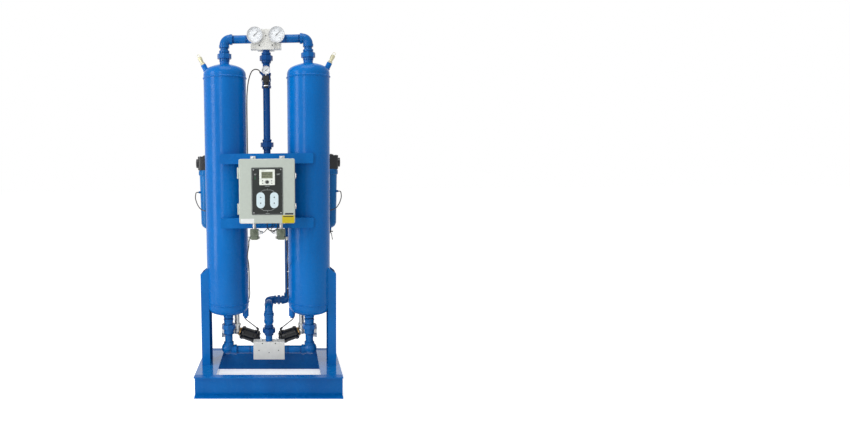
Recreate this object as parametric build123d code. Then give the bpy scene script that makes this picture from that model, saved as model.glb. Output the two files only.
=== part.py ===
"""Twin-tower desiccant air dryer on a steel skid, in millimetres.

+X is to the right seen from the front, +Y goes to the rear, +Z is up.
The origin is on the floor under the middle of the whole outline, 29.5 mm in front of the
plane of the tower axes. The pieces are drawn from that plane and moved back at the end.
"""
from build123d import *
import os
from collections import namedtuple
from math import atan2, cos, degrees, radians, sin, sqrt, tan

# The plane of the tower axes lies this far behind the origin
AXES_Y = 29.5

# Skid
SKID_W = 864.0
SKID_D = 530.0
RAIL_H = 127.0
RAIL_FLANGE = 44.5
RAIL_WEB_T = 4.8
RAIL_FLANGE_T = 8.1

# Legs
LEG_GAP = 33.0
LEG_DEPTH = 127.0
LEG_FLANGE = 52.0
LEG_T = 6.0
LEG_TOP = 732.0
LEG_CUT = 40.0

# Towers
TOWER_PITCH = 500.0
TOWER_R = 127.0
TOWER_WALL = 6.35
HEAD_CROWN = 0.904 * 2 * TOWER_R
HEAD_KNUCKLE = 0.173 * 2 * TOWER_R
HEAD_SKIRT = 20.0
SEAM_LOW = 508.0
SEAM_HIGH = 1866.0
WELD_W = 10.0
WELD_H = 2.0
BED_GAP = 0.4
SCREEN_T = 4.0
SCREEN_HOLE_R = 9.0

# Pipe sizes: one record for each nominal size, with the screwed fitting that goes with it
Pipe = namedtuple("Pipe", "r bore_r fit_r band_r band_l reach thread nut_r union_l")
HEADER = Pipe(24.13, 20.45, 28.5, 31.0, 15.0, 49.0, 15.0, 42.0, 62.0)
LOWER = HEADER._replace(union_l=92.0)
RISER = Pipe(21.08, 17.5, 25.5, 28.0, 13.0, 44.5, 13.0, 39.0, 60.0)

# Headers
TOP_Z = 2095.0
BOTTOM_Z = 206.0
TOP_UNION_Z = 1998.0
BOTTOM_UNION_Z = 356.0
TOP_BOSS_R = 28.5
TOP_BOSS_L = 17.0
BOTTOM_BOSS_R = 30.5
BOTTOM_BOSS_L = 14.0
ELBOW_BALL_R = 38.0
ELBOW_BALL_OUT = 7.0
ELBOW_BALL_UP = 10.0

# Valve blocks
BLOCK_D = 64.0
BLOCK_EDGE = 1.5
IN_BLOCK_W = 192.0
IN_BLOCK_LOW = 152.0
IN_BLOCK_HIGH = 262.0
OUT_BLOCK_W = 152.0
OUT_CORE_W = 100.0
OUT_BLOCK_LOW = 2028.0
OUT_BLOCK_HIGH = 2146.0
OUT_WING_LOW = 2066.0
OUT_WING_HIGH = 2128.0
CLAMP_W = 182.0
CLAMP_LOW = 2034.0
CLAMP_GROOVE = 2.0
SHUTTLE_BORE_R = 19.0
SHUTTLE_CLEAR = 0.05
SEAT_R = 15.0
IN_SEAT_X = 60.0
OUT_SEAT_X = 44.0
SHUTTLE_STROKE = 12.0
SHUTTLE_STOP = 0.5
SCREW_R = 4.0

# Tower gauges
GAUGE_X = 64.0
GAUGE_Z = 2104.0
GAUGE_R = 47.0
GAUGE_DEPTH = 32.0
GAUGE_RIM = 3.5
GAUGE_STEM_L = 14.0
GAUGE_STEM_R = 9.0
GAUGE_SOCKET = 7.0

# Riser, pilot regulator and its gauge
RISER_UNION_Z = 1984.0
TEE_Z = 1850.0
COUPLING_Z = 1471.0
OUTLET_Z = 1362.0
REG_BODY = 36.0
REG_H = 36.0
REG_Y = -74.0
REG_PORT_R = 7.0
KNOB_R = 15.0
KNOB_H = 27.0
SMALL_R = 25.0
SMALL_DEPTH = 24.0
SMALL_Z = 1899.0

# Filters at the rear
FILTER_X = 390.0
FILTER_Y = 165.0
HEAD_W = 128.0
HEAD_D = 92.0
HEAD_LOW = 1320.0
HEAD_TOP = 1406.0
PORT_R = 19.5
PORT_L = 18.0
BOWL_R = 46.0
BOWL_TIP_R = 41.0
BOWL_WALL = 3.0
BOWL_LOW = 946.0
COLLAR_T = 4.0
COLLAR_H = 34.0
ELEMENT_R = 30.0
ELEMENT_L = 280.0

# Inlet line
INLET_X = 123.0
INLET_Z = 480.0
INLET_UNION_Z = 330.0
REDUCER_R = 32.0
REDUCER_L = 62.0

# Exhaust valves and mufflers
EXHAUST_IN = 45.0
EXHAUST_Y = 90.0
EXHAUST_Z = 300.0
EXHAUST_R = 17.0
GLOBE_R = 25.0
LEG_HEX_R = 25.0
EXHAUST_REACH = 48.0
OUTLET_REACH = 34.0
ACTUATOR_DIR = (0.945, 0.0, -0.327)
ACTUATOR_NECK = 36.0
ACTUATOR_R = 42.0
ACTUATOR_L = 112.0
ACTUATOR_PORT = 0.78
BONNET_RING_R = 24.0
MUFFLER_R = 43.0
MUFFLER_L = 60.0
MUFFLER_THREAD = 12.0
MUFFLER_NECK = 6.0

# Safety valves on the upper heads
RELIEF_OUT = 111.0
RELIEF_Z = 1917.0
RELIEF_TILT = 27.0
RELIEF_BOSS_R = 16.0
RELIEF_BOSS_L = 36.0
RELIEF_HEX_R = 13.5
RELIEF_L = 50.0

# Drain ports on the lower heads
PORT_IN = 20.0
PORT_BOSS_R = 19.0
PORT_BOSS_Z = 418.0
PLUG_R = 11.0
PLUG_L = 13.0

# Brackets across the towers
BRACKET_PAST = 21.0
BRACKET_H = 60.0
BRACKET_T = 5.0
BRACKET_D = 38.0
BRACKET_FRONT = -150.0
BRACKET_ZS = {"upper": 1384.0, "lower": 1009.0}

# Control enclosure
BOX_X = 5.0
BOX_W = 310.0
BOX_H = 358.0
BOX_Z = 1202.0
BOX_D = 132.0
DOOR_T = 28.0
BOX_WALL = 4.0
BOX_EDGE = 10.0
LIP = 10.0
SEAL_T = 3.0
FOOT_X = 84.0
FOOT_W = 30.0
FOOT_T = 4.0
FOOT_RISE = 18.0
BOLT_HEAD_R = 6.5
HINGE_R = 5.0
PIN_R = 2.5
PIN_CLEAR = 0.08
HINGE_L = 60.0
HINGE_RISE = 100.0
LATCH_RISE = 84.0
LATCH_H = 22.0
LATCH_L = 34.0
LATCH_T = 6.0

# Panel on the door
PANEL_W = 174.0
PANEL_H = 262.0
PANEL_T = 1.0
CONTROL_W = 86.0
CONTROL_H = 86.0
CONTROL_D = 8.0
CONTROL_RISE = 77.0
ROCKER_R = 11.0
ROCKER_DROP = 26.0
KEY_R = 2.6
KEY_X = 25.0

# Solenoid valves under the enclosure
SOLENOID_X = 76.0
SOLENOID_Y = -235.0
HUB_R = 13.0
HUB_L = 40.0
COIL_W = 50.0
COIL_D = 38.0
COIL_H = 38.0
VALVE_H = 22.0
FITTING_R = 6.5
TUBE_R = 3.2
KNEE_DROP = 15.0
SUPPLY_X = -104.0
SUPPLY_TAP = (-17.0, -11.0, 1880.0)
SUPPLY_WAY = (-0.70, -0.22, 0.68)
SUPPLY_TAP_L = 26.0
SUPPLY_Z = 1290.0
DRAIN_TUBE_R = 3.0
BOWL_TAP_Z = 1180.0
BOWL_TAP_ANGLE = 25.0
SHELL_TAP_Y = 60.0
SHELL_TAP_Z = 1066.0
TAP_R = 7.0
TAP_L = 10.0

HEAD_DROP = sqrt((HEAD_CROWN - HEAD_KNUCKLE) ** 2 - (TOWER_R - HEAD_KNUCKLE) ** 2)
HEAD_H = HEAD_CROWN - HEAD_DROP
TOWER_X = TOWER_PITCH / 2
RELIEF_X = TOWER_X + RELIEF_OUT
EXHAUST_X = TOWER_X - EXHAUST_IN
LEG_OUTER_X = TOWER_X + TOWER_R + LEG_GAP
BRACKET_W = TOWER_PITCH + 2 * BRACKET_PAST
PORT_OFFSET = TOWER_R - PORT_IN
COLLAR_R = BOWL_R + COLLAR_T
BLOCK_FRONT = -BLOCK_D / 2
BOX_BACK = BRACKET_FRONT - FOOT_T
REG_TOP = TEE_Z + REG_H / 2
DOOR_FRONT = BOX_BACK - BOX_D - DOOR_T
PANEL_FRONT = DOOR_FRONT - PANEL_T
CONTROL_FRONT = PANEL_FRONT - CONTROL_D
BOX_LOW = BOX_Z - BOX_H / 2
SOLENOID_LOW = BOX_LOW - HUB_L
SIDES = {"left": -1, "right": 1}
UP = (0, 0, 1)
DOWN = (0, 0, -1)
FRONT = (0, -1, 0)
REAR = (0, 1, 0)


def shift(point, direction, distance):
    """The point that lies a distance along a direction."""
    step = Vector(*direction).normalized() * distance
    return tuple(Vector(*point) + step)


def frame(origin, direction):
    """A plane at a point, facing along a direction."""
    return Plane(origin=origin, z_dir=direction)


def rod(start, end, radius):
    """A round bar between two points."""
    path = Vector(*end) - Vector(*start)
    return extrude(frame(start, path) * Circle(radius), path.length)


def prism_rod(start, direction, length, radius, sides=6):
    """A bar of regular section, its corners on a circle of the given radius."""
    return extrude(frame(start, direction) * RegularPolygon(radius, sides), length)


def turned(origin, direction, profile):
    """A turned piece: the profile lists (radius, height) pairs along the direction."""
    outline = Polyline((0, profile[0][1]), *profile, (0, profile[-1][1]), close=True)
    shape = revolve(Plane.XZ * make_face(outline), Axis.Z)
    return frame(origin, direction).location * shape


def pipe(start, end, size):
    """A length of pipe with its bore."""
    return rod(start, end, size.r) - rod(start, end, size.bore_r)


def cased(width, depth, height, edge):
    """A block with rounded upright edges, centred on the origin."""
    return extrude(RectangleRounded(width, depth, edge), height / 2, both=True)


def elbow(corner, first, second, size, ball=None):
    """A screwed elbow: a quarter bend with a banded socket at each mouth, and a swollen back where given."""
    first = Vector(*first)
    second = Vector(*second)
    bend = size.reach - size.band_l
    centre = Vector(*corner) + (first + second) * bend
    start = Vector(*corner) + first * bend
    turn = Axis(centre, first.cross(second))
    body = revolve(frame(start, first) * Circle(size.fit_r), turn, -90)
    passage = revolve(frame(start, first) * Circle(size.bore_r), turn, -90)
    for way in (first, second):
        mouth = Vector(*corner) + way * size.reach
        body += rod(mouth - way * size.band_l, mouth, size.band_r)
        passage += rod(mouth - way * size.band_l, mouth, size.bore_r)
        passage += rod(mouth - way * size.thread, mouth, size.r)
    if ball:
        body += Pos(*ball) * Sphere(ELBOW_BALL_R)
    return body - passage


def union(centre, direction, size):
    """A three-piece union drawn tight: two round ends and an eight-sided nut."""
    half = size.union_l / 2
    low = shift(centre, direction, -half)
    high = shift(centre, direction, half)
    body = turned(low, direction, [
        (size.band_r, 0),
        (size.band_r, half - 12),
        (size.fit_r, half - 10),
        (size.fit_r, size.union_l - 12),
        (size.band_r, size.union_l - 10),
        (size.band_r, size.union_l),
    ])
    body += prism_rod(shift(centre, direction, -16), direction, 28, size.nut_r, 8)
    body -= rod(low, high, size.bore_r)
    body -= rod(low, shift(low, direction, size.thread), size.r)
    body -= rod(high, shift(high, direction, -size.thread), size.r)
    return body


def channel(length, height, flange, web_t, flange_t):
    """A rolled channel along +X: its web stands on the XZ plane and the flanges point to -Y."""
    outline = Polyline(
        (0, 0), (-flange, 0), (-flange, flange_t * 0.75), (-web_t, flange_t * 1.2),
        (-web_t, height - flange_t * 1.2), (-flange, height - flange_t * 0.75),
        (-flange, height), (0, height), close=True)
    section = Plane(origin=(-length / 2, 0, 0), x_dir=(0, 1, 0), z_dir=(1, 0, 0)) * make_face(outline)
    return extrude(section, length)


def vessel(inset):
    """The tower's outline turned about +Z: straight shell and a crown and knuckle head at each end."""
    low = SEAM_LOW - HEAD_SKIRT
    high = SEAM_HIGH + HEAD_SKIRT
    knuckle_x = TOWER_R - HEAD_KNUCKLE
    knuckle_r = HEAD_KNUCKLE - inset
    crown_r = HEAD_CROWN - inset
    split = degrees(atan2(HEAD_DROP, knuckle_x))
    outline = Line((TOWER_R - inset, low), (TOWER_R - inset, high))
    outline += CenterArc((knuckle_x, high), knuckle_r, 0, split)
    outline += CenterArc((0, high - HEAD_DROP), crown_r, split, 90 - split)
    outline += Line((0, high - HEAD_DROP + crown_r), (0, low + HEAD_DROP - crown_r))
    outline += CenterArc((0, low + HEAD_DROP), crown_r, 270, 90 - split)
    outline += CenterArc((knuckle_x, low), knuckle_r, 360 - split, split)
    return revolve(Plane.XZ * make_face(outline), Axis.Z)


def head_rise(offset):
    """Height of the outside of a head above its skirt, at a distance from the tower's axis."""
    on_crown = sqrt(HEAD_CROWN ** 2 - offset ** 2) - HEAD_DROP
    if offset < HEAD_CROWN * (TOWER_R - HEAD_KNUCKLE) / (HEAD_CROWN - HEAD_KNUCKLE):
        return on_crown
    return sqrt(HEAD_KNUCKLE ** 2 - (offset - TOWER_R + HEAD_KNUCKLE) ** 2)


def skid_rails():
    """Front and rear channels with their toes outward, and two side channels laid flat."""
    end = channel(SKID_W, RAIL_H, RAIL_FLANGE, RAIL_WEB_T, RAIL_FLANGE_T)
    front = Pos(0, RAIL_FLANGE - SKID_D / 2, 0) * end
    rear = Rot(0, 0, 180) * front
    span = SKID_D - 2 * RAIL_FLANGE
    flat = Rot(0, 0, 90) * Rot(90, 0, 0) * channel(span, RAIL_H, RAIL_FLANGE, RAIL_WEB_T, RAIL_FLANGE_T)
    box = flat.bounding_box()
    flat = Pos(-box.min.X, 0, RAIL_H - box.max.Z) * flat
    left = Pos(-SKID_W / 2, 0, 0) * flat
    right = Pos(SKID_W / 2 - RAIL_H, 0, 0) * flat
    return {"front": front, "rear": rear, "left": left, "right": right}


def leg(side):
    """A channel upright: web outside, flanges coped to the tower, outer top corner cut off."""
    outer = side * LEG_OUTER_X
    inner = side * (LEG_OUTER_X - LEG_FLANGE)
    height = LEG_TOP - RAIL_H
    middle = (outer + inner) / 2
    body = Pos(middle, 0, RAIL_H + height / 2) * Box(LEG_FLANGE, LEG_DEPTH, height)
    hollow = Pos(middle - side * LEG_T, 0, RAIL_H + height / 2)
    body -= hollow * Box(LEG_FLANGE, LEG_DEPTH - 2 * LEG_T, height + 2)
    corner = Polyline(
        (outer, LEG_TOP - LEG_CUT), (inner, LEG_TOP), (inner, LEG_TOP + 5),
        (outer + side, LEG_TOP + 5), (outer + side, LEG_TOP - LEG_CUT), close=True)
    body -= extrude(Plane.XZ * make_face(corner), LEG_DEPTH, both=True)
    body -= Pos(side * TOWER_PITCH / 2, 0, LEG_TOP / 2) * Cylinder(TOWER_R, LEG_TOP * 2)
    return body - Pos(side * TOWER_PITCH / 2, 0, SEAM_LOW) * Cylinder(TOWER_R + WELD_H, WELD_W)


def bracket(height):
    """A formed channel across both tower fronts, coped to the shells, with rounded front corners."""
    middle = BRACKET_FRONT + BRACKET_D / 2
    outside = Rot(90, 0, 0) * cased(BRACKET_W, BRACKET_H, BRACKET_D, 8)
    inside = Rot(90, 0, 0) * cased(BRACKET_W + 2, BRACKET_H - 2 * BRACKET_T, BRACKET_D, 3)
    body = Pos(0, middle, height) * outside
    body -= Pos(0, middle + BRACKET_T, height) * inside
    for side in SIDES.values():
        body -= Pos(side * TOWER_PITCH / 2, 0, height) * Cylinder(TOWER_R, BRACKET_H * 2)
    return body


def weld_bead(x, height):
    """The bead of a girth weld, standing proud of the shell."""
    half = WELD_W / 2
    return turned((x, 0, height), UP, [
        (TOWER_R - 1, -half), (TOWER_R, -half), (TOWER_R + WELD_H, -half * 0.5),
        (TOWER_R + WELD_H, half * 0.5), (TOWER_R, half), (TOWER_R - 1, half)])


def tower(side):
    """A welded pressure vessel with its nozzles and the two girth seams."""
    low = SEAM_LOW - HEAD_SKIRT
    high = SEAM_HIGH + HEAD_SKIRT
    axis = side * TOWER_PITCH / 2
    crown = high + HEAD_H
    foot = low - HEAD_H
    body = Pos(axis, 0, 0) * vessel(0)
    for seam in (SEAM_LOW, SEAM_HIGH):
        body += weld_bead(axis, seam)
    body += rod((axis, 0, crown - 14), (axis, 0, crown + TOP_BOSS_L), TOP_BOSS_R)
    body += rod((axis, 0, foot + 14), (axis, 0, foot - BOTTOM_BOSS_L), BOTTOM_BOSS_R)
    drain_x = axis - side * PORT_OFFSET
    body += rod((drain_x, 0, low - head_rise(PORT_OFFSET) + 16), (drain_x, 0, PORT_BOSS_Z), PORT_BOSS_R)
    exhaust = (side * EXHAUST_X, EXHAUST_Y)
    reach = sqrt((exhaust[0] - axis) ** 2 + exhaust[1] ** 2)
    body += rod((*exhaust, low - head_rise(reach) + 16), (*exhaust, PORT_BOSS_Z), PORT_BOSS_R + 4)
    tilt = (side * sin(radians(RELIEF_TILT)), 0, cos(radians(RELIEF_TILT)))
    seat = (side * RELIEF_X, 0, RELIEF_Z)
    body += rod(shift(seat, tilt, -14), shift(seat, tilt, RELIEF_BOSS_L), RELIEF_BOSS_R)
    tap = (shell_tap_x(side, -4), SHELL_TAP_Y, SHELL_TAP_Z)
    body += rod(tap, (shell_tap_x(side, TAP_L), SHELL_TAP_Y, SHELL_TAP_Z), TAP_R)
    body -= Pos(axis, 0, 0) * vessel(TOWER_WALL)
    body -= rod((axis, 0, crown - 20), (axis, 0, crown + TOP_BOSS_L), HEADER.r)
    body -= rod((axis, 0, foot + 20), (axis, 0, foot - BOTTOM_BOSS_L), HEADER.r)
    body -= rod((*exhaust, low), (*exhaust, PORT_BOSS_Z), EXHAUST_R)
    body -= rod((drain_x, 0, low), (drain_x, 0, PORT_BOSS_Z), PLUG_R)
    body -= rod(shift(seat, tilt, -20), shift(seat, tilt, RELIEF_BOSS_L), 8)
    return body


def bed(side):
    """The desiccant fill between the two screens."""
    length = SEAM_HIGH - SEAM_LOW - 2 * SCREEN_T
    middle = (SEAM_HIGH + SEAM_LOW) / 2
    return Pos(side * TOWER_PITCH / 2, 0, middle) * Cylinder(TOWER_R - TOWER_WALL - BED_GAP, length)


def screens():
    """A round screen under and over each bed, with a ring of openings round a central one."""
    disc = Cylinder(TOWER_R - TOWER_WALL - BED_GAP, SCREEN_T)
    disc -= PolarLocations(72, 8) * Cylinder(SCREEN_HOLE_R, SCREEN_T)
    disc -= Cylinder(SCREEN_HOLE_R, SCREEN_T)
    low = SEAM_LOW + SCREEN_T / 2
    high = SEAM_HIGH - SCREEN_T / 2
    return [Pos(side * TOWER_PITCH / 2, 0, z) * disc for side in SIDES.values() for z in (low, high)]


def drain_plugs():
    """A square-headed plug in each drain port."""
    made = []
    for side in SIDES.values():
        x = side * (TOWER_PITCH / 2 - PORT_OFFSET)
        stem = rod((x, 0, PORT_BOSS_Z + 18), (x, 0, PORT_BOSS_Z), PLUG_R)
        made.append(stem + prism_rod((x, 0, PORT_BOSS_Z), DOWN, PLUG_L, PLUG_R, 4))
    return made


def header_nipples():
    """The short pipes above and below the four header unions."""
    reach = HEADER.union_l / 2 - HEADER.thread
    low_reach = LOWER.union_l / 2 - LOWER.thread
    crown = SEAM_HIGH + HEAD_SKIRT + HEAD_H
    foot = SEAM_LOW - HEAD_SKIRT - HEAD_H
    made = []
    for side in SIDES.values():
        x = side * TOWER_PITCH / 2
        made.append(pipe((x, 0, crown - 4), (x, 0, TOP_UNION_Z - reach), HEADER))
        made.append(pipe((x, 0, TOP_UNION_Z + reach), (x, 0, TOP_Z - HEADER.reach + HEADER.thread), HEADER))
        made.append(pipe((x, 0, foot - BOTTOM_BOSS_L + 22), (x, 0, BOTTOM_UNION_Z + low_reach), HEADER))
        bottom = BOTTOM_Z + HEADER.reach - HEADER.thread
        made.append(pipe((x, 0, BOTTOM_UNION_Z - low_reach), (x, 0, bottom), HEADER))
    return made


def header_unions():
    """Four unions, so that each tower can be lifted out: the lower two have longer tails."""
    spots = [(TOP_UNION_Z, HEADER), (BOTTOM_UNION_Z, LOWER)]
    return [union((side * TOWER_PITCH / 2, 0, z), UP, size) for side in SIDES.values() for z, size in spots]


def header_pipes():
    """The horizontal pipes from each valve block to the elbows of the two towers."""
    outer = TOWER_PITCH / 2 - HEADER.reach + HEADER.thread
    made = []
    for height, block_half in ((TOP_Z, OUT_BLOCK_W / 2), (BOTTOM_Z, IN_BLOCK_W / 2)):
        inner = block_half - HEADER.thread
        made += [pipe((side * inner, 0, height), (side * outer, 0, height), HEADER) for side in SIDES.values()]
    return made


def header_elbows():
    """The four elbows that turn the headers to the towers: down at the top, up at the bottom."""
    made = []
    for height, upright in ((TOP_Z, DOWN), (BOTTOM_Z, UP)):
        for side in SIDES.values():
            x = side * TOWER_PITCH / 2
            ball = (x + side * ELBOW_BALL_OUT, 0, height + ELBOW_BALL_UP) if upright == UP else None
            made.append(elbow((x, 0, height), (-side, 0, 0), upright, HEADER, ball))
    return made


def shuttle_way(height, seat_x, half):
    """The bore of a shuttle valve: a wide middle, two seats and a pipe socket at each end."""
    way = rod((-seat_x, 0, height), (seat_x, 0, height), SHUTTLE_BORE_R)
    way += rod((-half, 0, height), (half, 0, height), SEAT_R)
    for side in SIDES.values():
        way += rod((side * (half - HEADER.thread), 0, height), (side * half, 0, height), HEADER.r)
    return way


def shuttle(height, seat_x):
    """The sliding spool of a shuttle valve, with a land at each end."""
    radius = SHUTTLE_BORE_R - SHUTTLE_CLEAR
    length = 2 * (seat_x - SHUTTLE_STROKE - SHUTTLE_STOP)
    waist = radius * 0.6
    return turned((-length / 2, 0, height), (1, 0, 0), [
        (radius - 1.5, 0), (radius, 1.5), (radius, 14), (waist, 18),
        (waist, length - 18), (radius, length - 14), (radius, length - 1.5), (radius - 1.5, length)])


def inlet_block():
    """The lower valve block: a machined bar with the shuttle bore across it and the inlet on top."""
    height = IN_BLOCK_HIGH - IN_BLOCK_LOW
    body = Pos(0, 0, (IN_BLOCK_LOW + IN_BLOCK_HIGH) / 2) * Box(IN_BLOCK_W, BLOCK_D, height)
    body = chamfer(body.edges(), BLOCK_EDGE)
    body -= shuttle_way(BOTTOM_Z, IN_SEAT_X, IN_BLOCK_W / 2)
    body -= rod((0, 0, IN_BLOCK_HIGH), (0, 0, BOTTOM_Z), RISER.bore_r)
    body -= rod((0, 0, IN_BLOCK_HIGH), (0, 0, IN_BLOCK_HIGH - RISER.thread), RISER.r)
    for x in (-40, 40):
        body -= rod((x, BLOCK_FRONT, IN_BLOCK_HIGH - 9), (x, BLOCK_FRONT + 12, IN_BLOCK_HIGH - 9), SCREW_R)
    return body


def outlet_block():
    """The upper valve block: a tall core, two wings for the headers and a ribbed clamp below."""
    core = Pos(0, 0, (OUT_BLOCK_LOW + OUT_BLOCK_HIGH) / 2)
    core *= Box(OUT_CORE_W, BLOCK_D, OUT_BLOCK_HIGH - OUT_BLOCK_LOW)
    top_edges = core.edges().filter_by(Axis.Y).group_by(Axis.Z)[-1]
    core = chamfer(top_edges, 16)
    wing_h = OUT_WING_HIGH - OUT_WING_LOW
    wings = Pos(0, 0, (OUT_WING_LOW + OUT_WING_HIGH) / 2) * Box(OUT_BLOCK_W, BLOCK_D, wing_h)
    clamp_h = OUT_WING_LOW - CLAMP_LOW
    clamp = Pos(0, 0, CLAMP_LOW + clamp_h / 2) * Box(CLAMP_W, BLOCK_D - 8, clamp_h)
    ring = Rectangle(CLAMP_W + 2, BLOCK_D) - Rectangle(OUT_CORE_W + 8, BLOCK_D)
    trim = Rectangle(CLAMP_W - 2 * CLAMP_GROOVE, BLOCK_D - 8 - 2 * CLAMP_GROOVE)
    for step in (8, 16, 24):
        clamp -= Pos(0, 0, CLAMP_LOW + step) * extrude(ring - trim, 1.5, both=True)
    body = core + wings + clamp
    body -= shuttle_way(TOP_Z, OUT_SEAT_X, OUT_BLOCK_W / 2)
    body -= rod((0, 0, OUT_BLOCK_LOW), (0, 0, TOP_Z), RISER.bore_r)
    body -= rod((0, 0, OUT_BLOCK_LOW), (0, 0, OUT_BLOCK_LOW + RISER.thread), RISER.r)
    for x in (-GAUGE_X, GAUGE_X):
        body -= rod((x, BLOCK_FRONT, GAUGE_Z), (x, BLOCK_FRONT + GAUGE_SOCKET, GAUGE_Z), GAUGE_STEM_R)
    return body


def gauge_case(centre, radius, depth):
    """A round gauge case seen from the front: rim, recessed dial and flat back."""
    back = shift(centre, REAR, depth)
    return turned(back, FRONT, [
        (radius - 6, 0), (radius - 4, 2), (radius - 4, depth - 12), (radius, depth - 10),
        (radius, depth - 1.5), (radius - 1.5, depth), (radius - GAUGE_RIM, depth),
        (radius - GAUGE_RIM, depth - 8)])


def tower_gauge(side):
    """A tower gauge on its back stem in the outlet block."""
    centre = (side * GAUGE_X, BLOCK_FRONT - GAUGE_STEM_L - GAUGE_DEPTH, GAUGE_Z)
    back = shift(centre, REAR, GAUGE_DEPTH)
    body = gauge_case(centre, GAUGE_R, GAUGE_DEPTH)
    body += rod(shift(back, FRONT, 2), shift(back, REAR, GAUGE_STEM_L + GAUGE_SOCKET), GAUGE_STEM_R)
    body += prism_rod(back, REAR, GAUGE_STEM_L - 4, GAUGE_STEM_R + 3)
    return body - pointer_hole(centre)


def small_gauge():
    """The pilot gauge, standing on the regulator."""
    centre = small_centre()
    body = gauge_case(centre, SMALL_R, SMALL_DEPTH)
    foot = (0, REG_Y, REG_TOP)
    body += rod((0, REG_Y, SMALL_Z), shift(foot, DOWN, 8), 5)
    body -= rod(centre, shift(centre, REAR, 8), SMALL_R - GAUGE_RIM)
    return body - pointer_hole(centre)


def small_centre():
    """Centre of the front of the pilot gauge's rim."""
    return (0, REG_Y - SMALL_DEPTH / 2, SMALL_Z)


def pointer_hole(centre):
    """The bush in the dial that a pointer's shaft turns in."""
    return rod(shift(centre, REAR, 7), shift(centre, REAR, 13), 1.5)


def pointer(centre, length):
    """A pointer on its shaft, resting up and to the right: blade, tail and round hub."""
    plane = Plane(origin=shift(centre, REAR, 5.6), x_dir=(1, 0, 0), z_dir=FRONT)
    blade = make_face(Polyline((-2, -length * 0.3), (2, -length * 0.3), (0.6, length), (-0.6, length), close=True))
    shape = extrude(plane * (Rot(0, 0, -45) * blade + Circle(3.5)), 1)
    return shape + rod(shift(centre, REAR, 5.6), shift(centre, REAR, 12.5), 1.45)


def lens(centre, radius):
    """The flat window pressed into a gauge's rim."""
    return rod(shift(centre, REAR, 3), shift(centre, REAR, 1), radius - GAUGE_RIM)


def tower_gauge_centre(side):
    """Centre of the front of a tower gauge's rim."""
    return (side * GAUGE_X, BLOCK_FRONT - GAUGE_STEM_L - GAUGE_DEPTH, GAUGE_Z)


def riser_pipes():
    """The outlet riser, from the upper block down to the elbow behind the enclosure."""
    reach = RISER.union_l / 2 - RISER.thread
    ends = [
        (OUT_BLOCK_LOW + RISER.thread, RISER_UNION_Z + reach),
        (RISER_UNION_Z - reach, TEE_Z + RISER.reach - RISER.thread),
        (TEE_Z - RISER.reach + RISER.thread, COUPLING_Z + reach),
        (COUPLING_Z - reach, OUTLET_Z + RISER.reach - RISER.thread),
    ]
    return [pipe((0, 0, high), (0, 0, low), RISER) for high, low in ends]


def line_unions():
    """Three identical unions: under the upper block, above the bracket and over the lower block."""
    return [union((0, 0, z), UP, RISER) for z in (RISER_UNION_Z, COUPLING_Z, INLET_UNION_Z)]


def riser_tee():
    """A banded tee with a bushing for the pilot regulator in its front branch."""
    low = (0, 0, TEE_Z - RISER.reach)
    high = (0, 0, TEE_Z + RISER.reach)
    front = (0, -RISER.reach, TEE_Z)
    body = rod(low, high, RISER.fit_r) + rod((0, 0, TEE_Z), front, RISER.fit_r)
    body += rod(SUPPLY_TAP, shift(SUPPLY_TAP, SUPPLY_WAY, SUPPLY_TAP_L), FITTING_R)
    body += rod(low, shift(low, UP, RISER.band_l), RISER.band_r)
    body += rod(high, shift(high, DOWN, RISER.band_l), RISER.band_r)
    body += rod(front, shift(front, REAR, RISER.band_l), RISER.band_r)
    body += prism_rod(front, FRONT, 6, 22)
    body -= rod(low, high, RISER.bore_r)
    for end, way in ((low, UP), (high, DOWN)):
        body -= rod(end, shift(end, way, RISER.thread), RISER.r)
    return body - rod((0, -RISER.reach - 6, TEE_Z), (0, 0, TEE_Z), REG_PORT_R)


def regulator():
    """The pilot air regulator: a square body with its inlet stub, side ports and gauge port."""
    body = Pos(0, REG_Y, TEE_Z) * cased(REG_BODY, REG_BODY, REG_H, 5)
    body += rod((0, REG_Y, TEE_Z), (0, -RISER.reach + 4, TEE_Z), REG_PORT_R)
    body += turned((0, REG_Y, TEE_Z - REG_H / 2), DOWN, [(16, 0), (14, 6)])
    body += prism_rod((-REG_BODY / 2, REG_Y, TEE_Z), (-1, 0, 0), 6, 8)
    body -= rod((0, REG_Y, REG_TOP), (0, REG_Y, REG_TOP - 8), 5)
    return body - rod((0, REG_Y, TEE_Z), (0, REG_Y, TEE_Z - 40), 4)


def regulator_knob():
    """The adjusting knob under the regulator, gripped by flats round its skirt."""
    top = TEE_Z - REG_H / 2 - 6.3
    knob = turned((0, REG_Y, top), DOWN, [(KNOB_R - 2, 0), (KNOB_R, 2), (KNOB_R, KNOB_H - 3), (KNOB_R - 3, KNOB_H)])
    for spot in PolarLocations(KNOB_R + 1.2, 12):
        knob -= Pos(0, REG_Y, top - KNOB_H / 2 - 3) * spot * Cylinder(2.2, KNOB_H - 6)
    return knob + rod((0, REG_Y, top - 2), (0, REG_Y, TEE_Z), 3.95)


def outlet_line():
    """From the riser back between the towers and across to the left filter."""
    port = -(FILTER_X - HEAD_W / 2)
    corner = (0, FILTER_Y, OUTLET_Z)
    seat = RISER.reach - RISER.thread
    return [
        elbow((0, 0, OUTLET_Z), UP, REAR, RISER),
        pipe((0, seat, OUTLET_Z), (0, FILTER_Y - seat, OUTLET_Z), RISER),
        elbow(corner, FRONT, (-1, 0, 0), RISER),
        pipe((-seat, FILTER_Y, OUTLET_Z), (port - PORT_L, FILTER_Y, OUTLET_Z), RISER),
    ]


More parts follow.
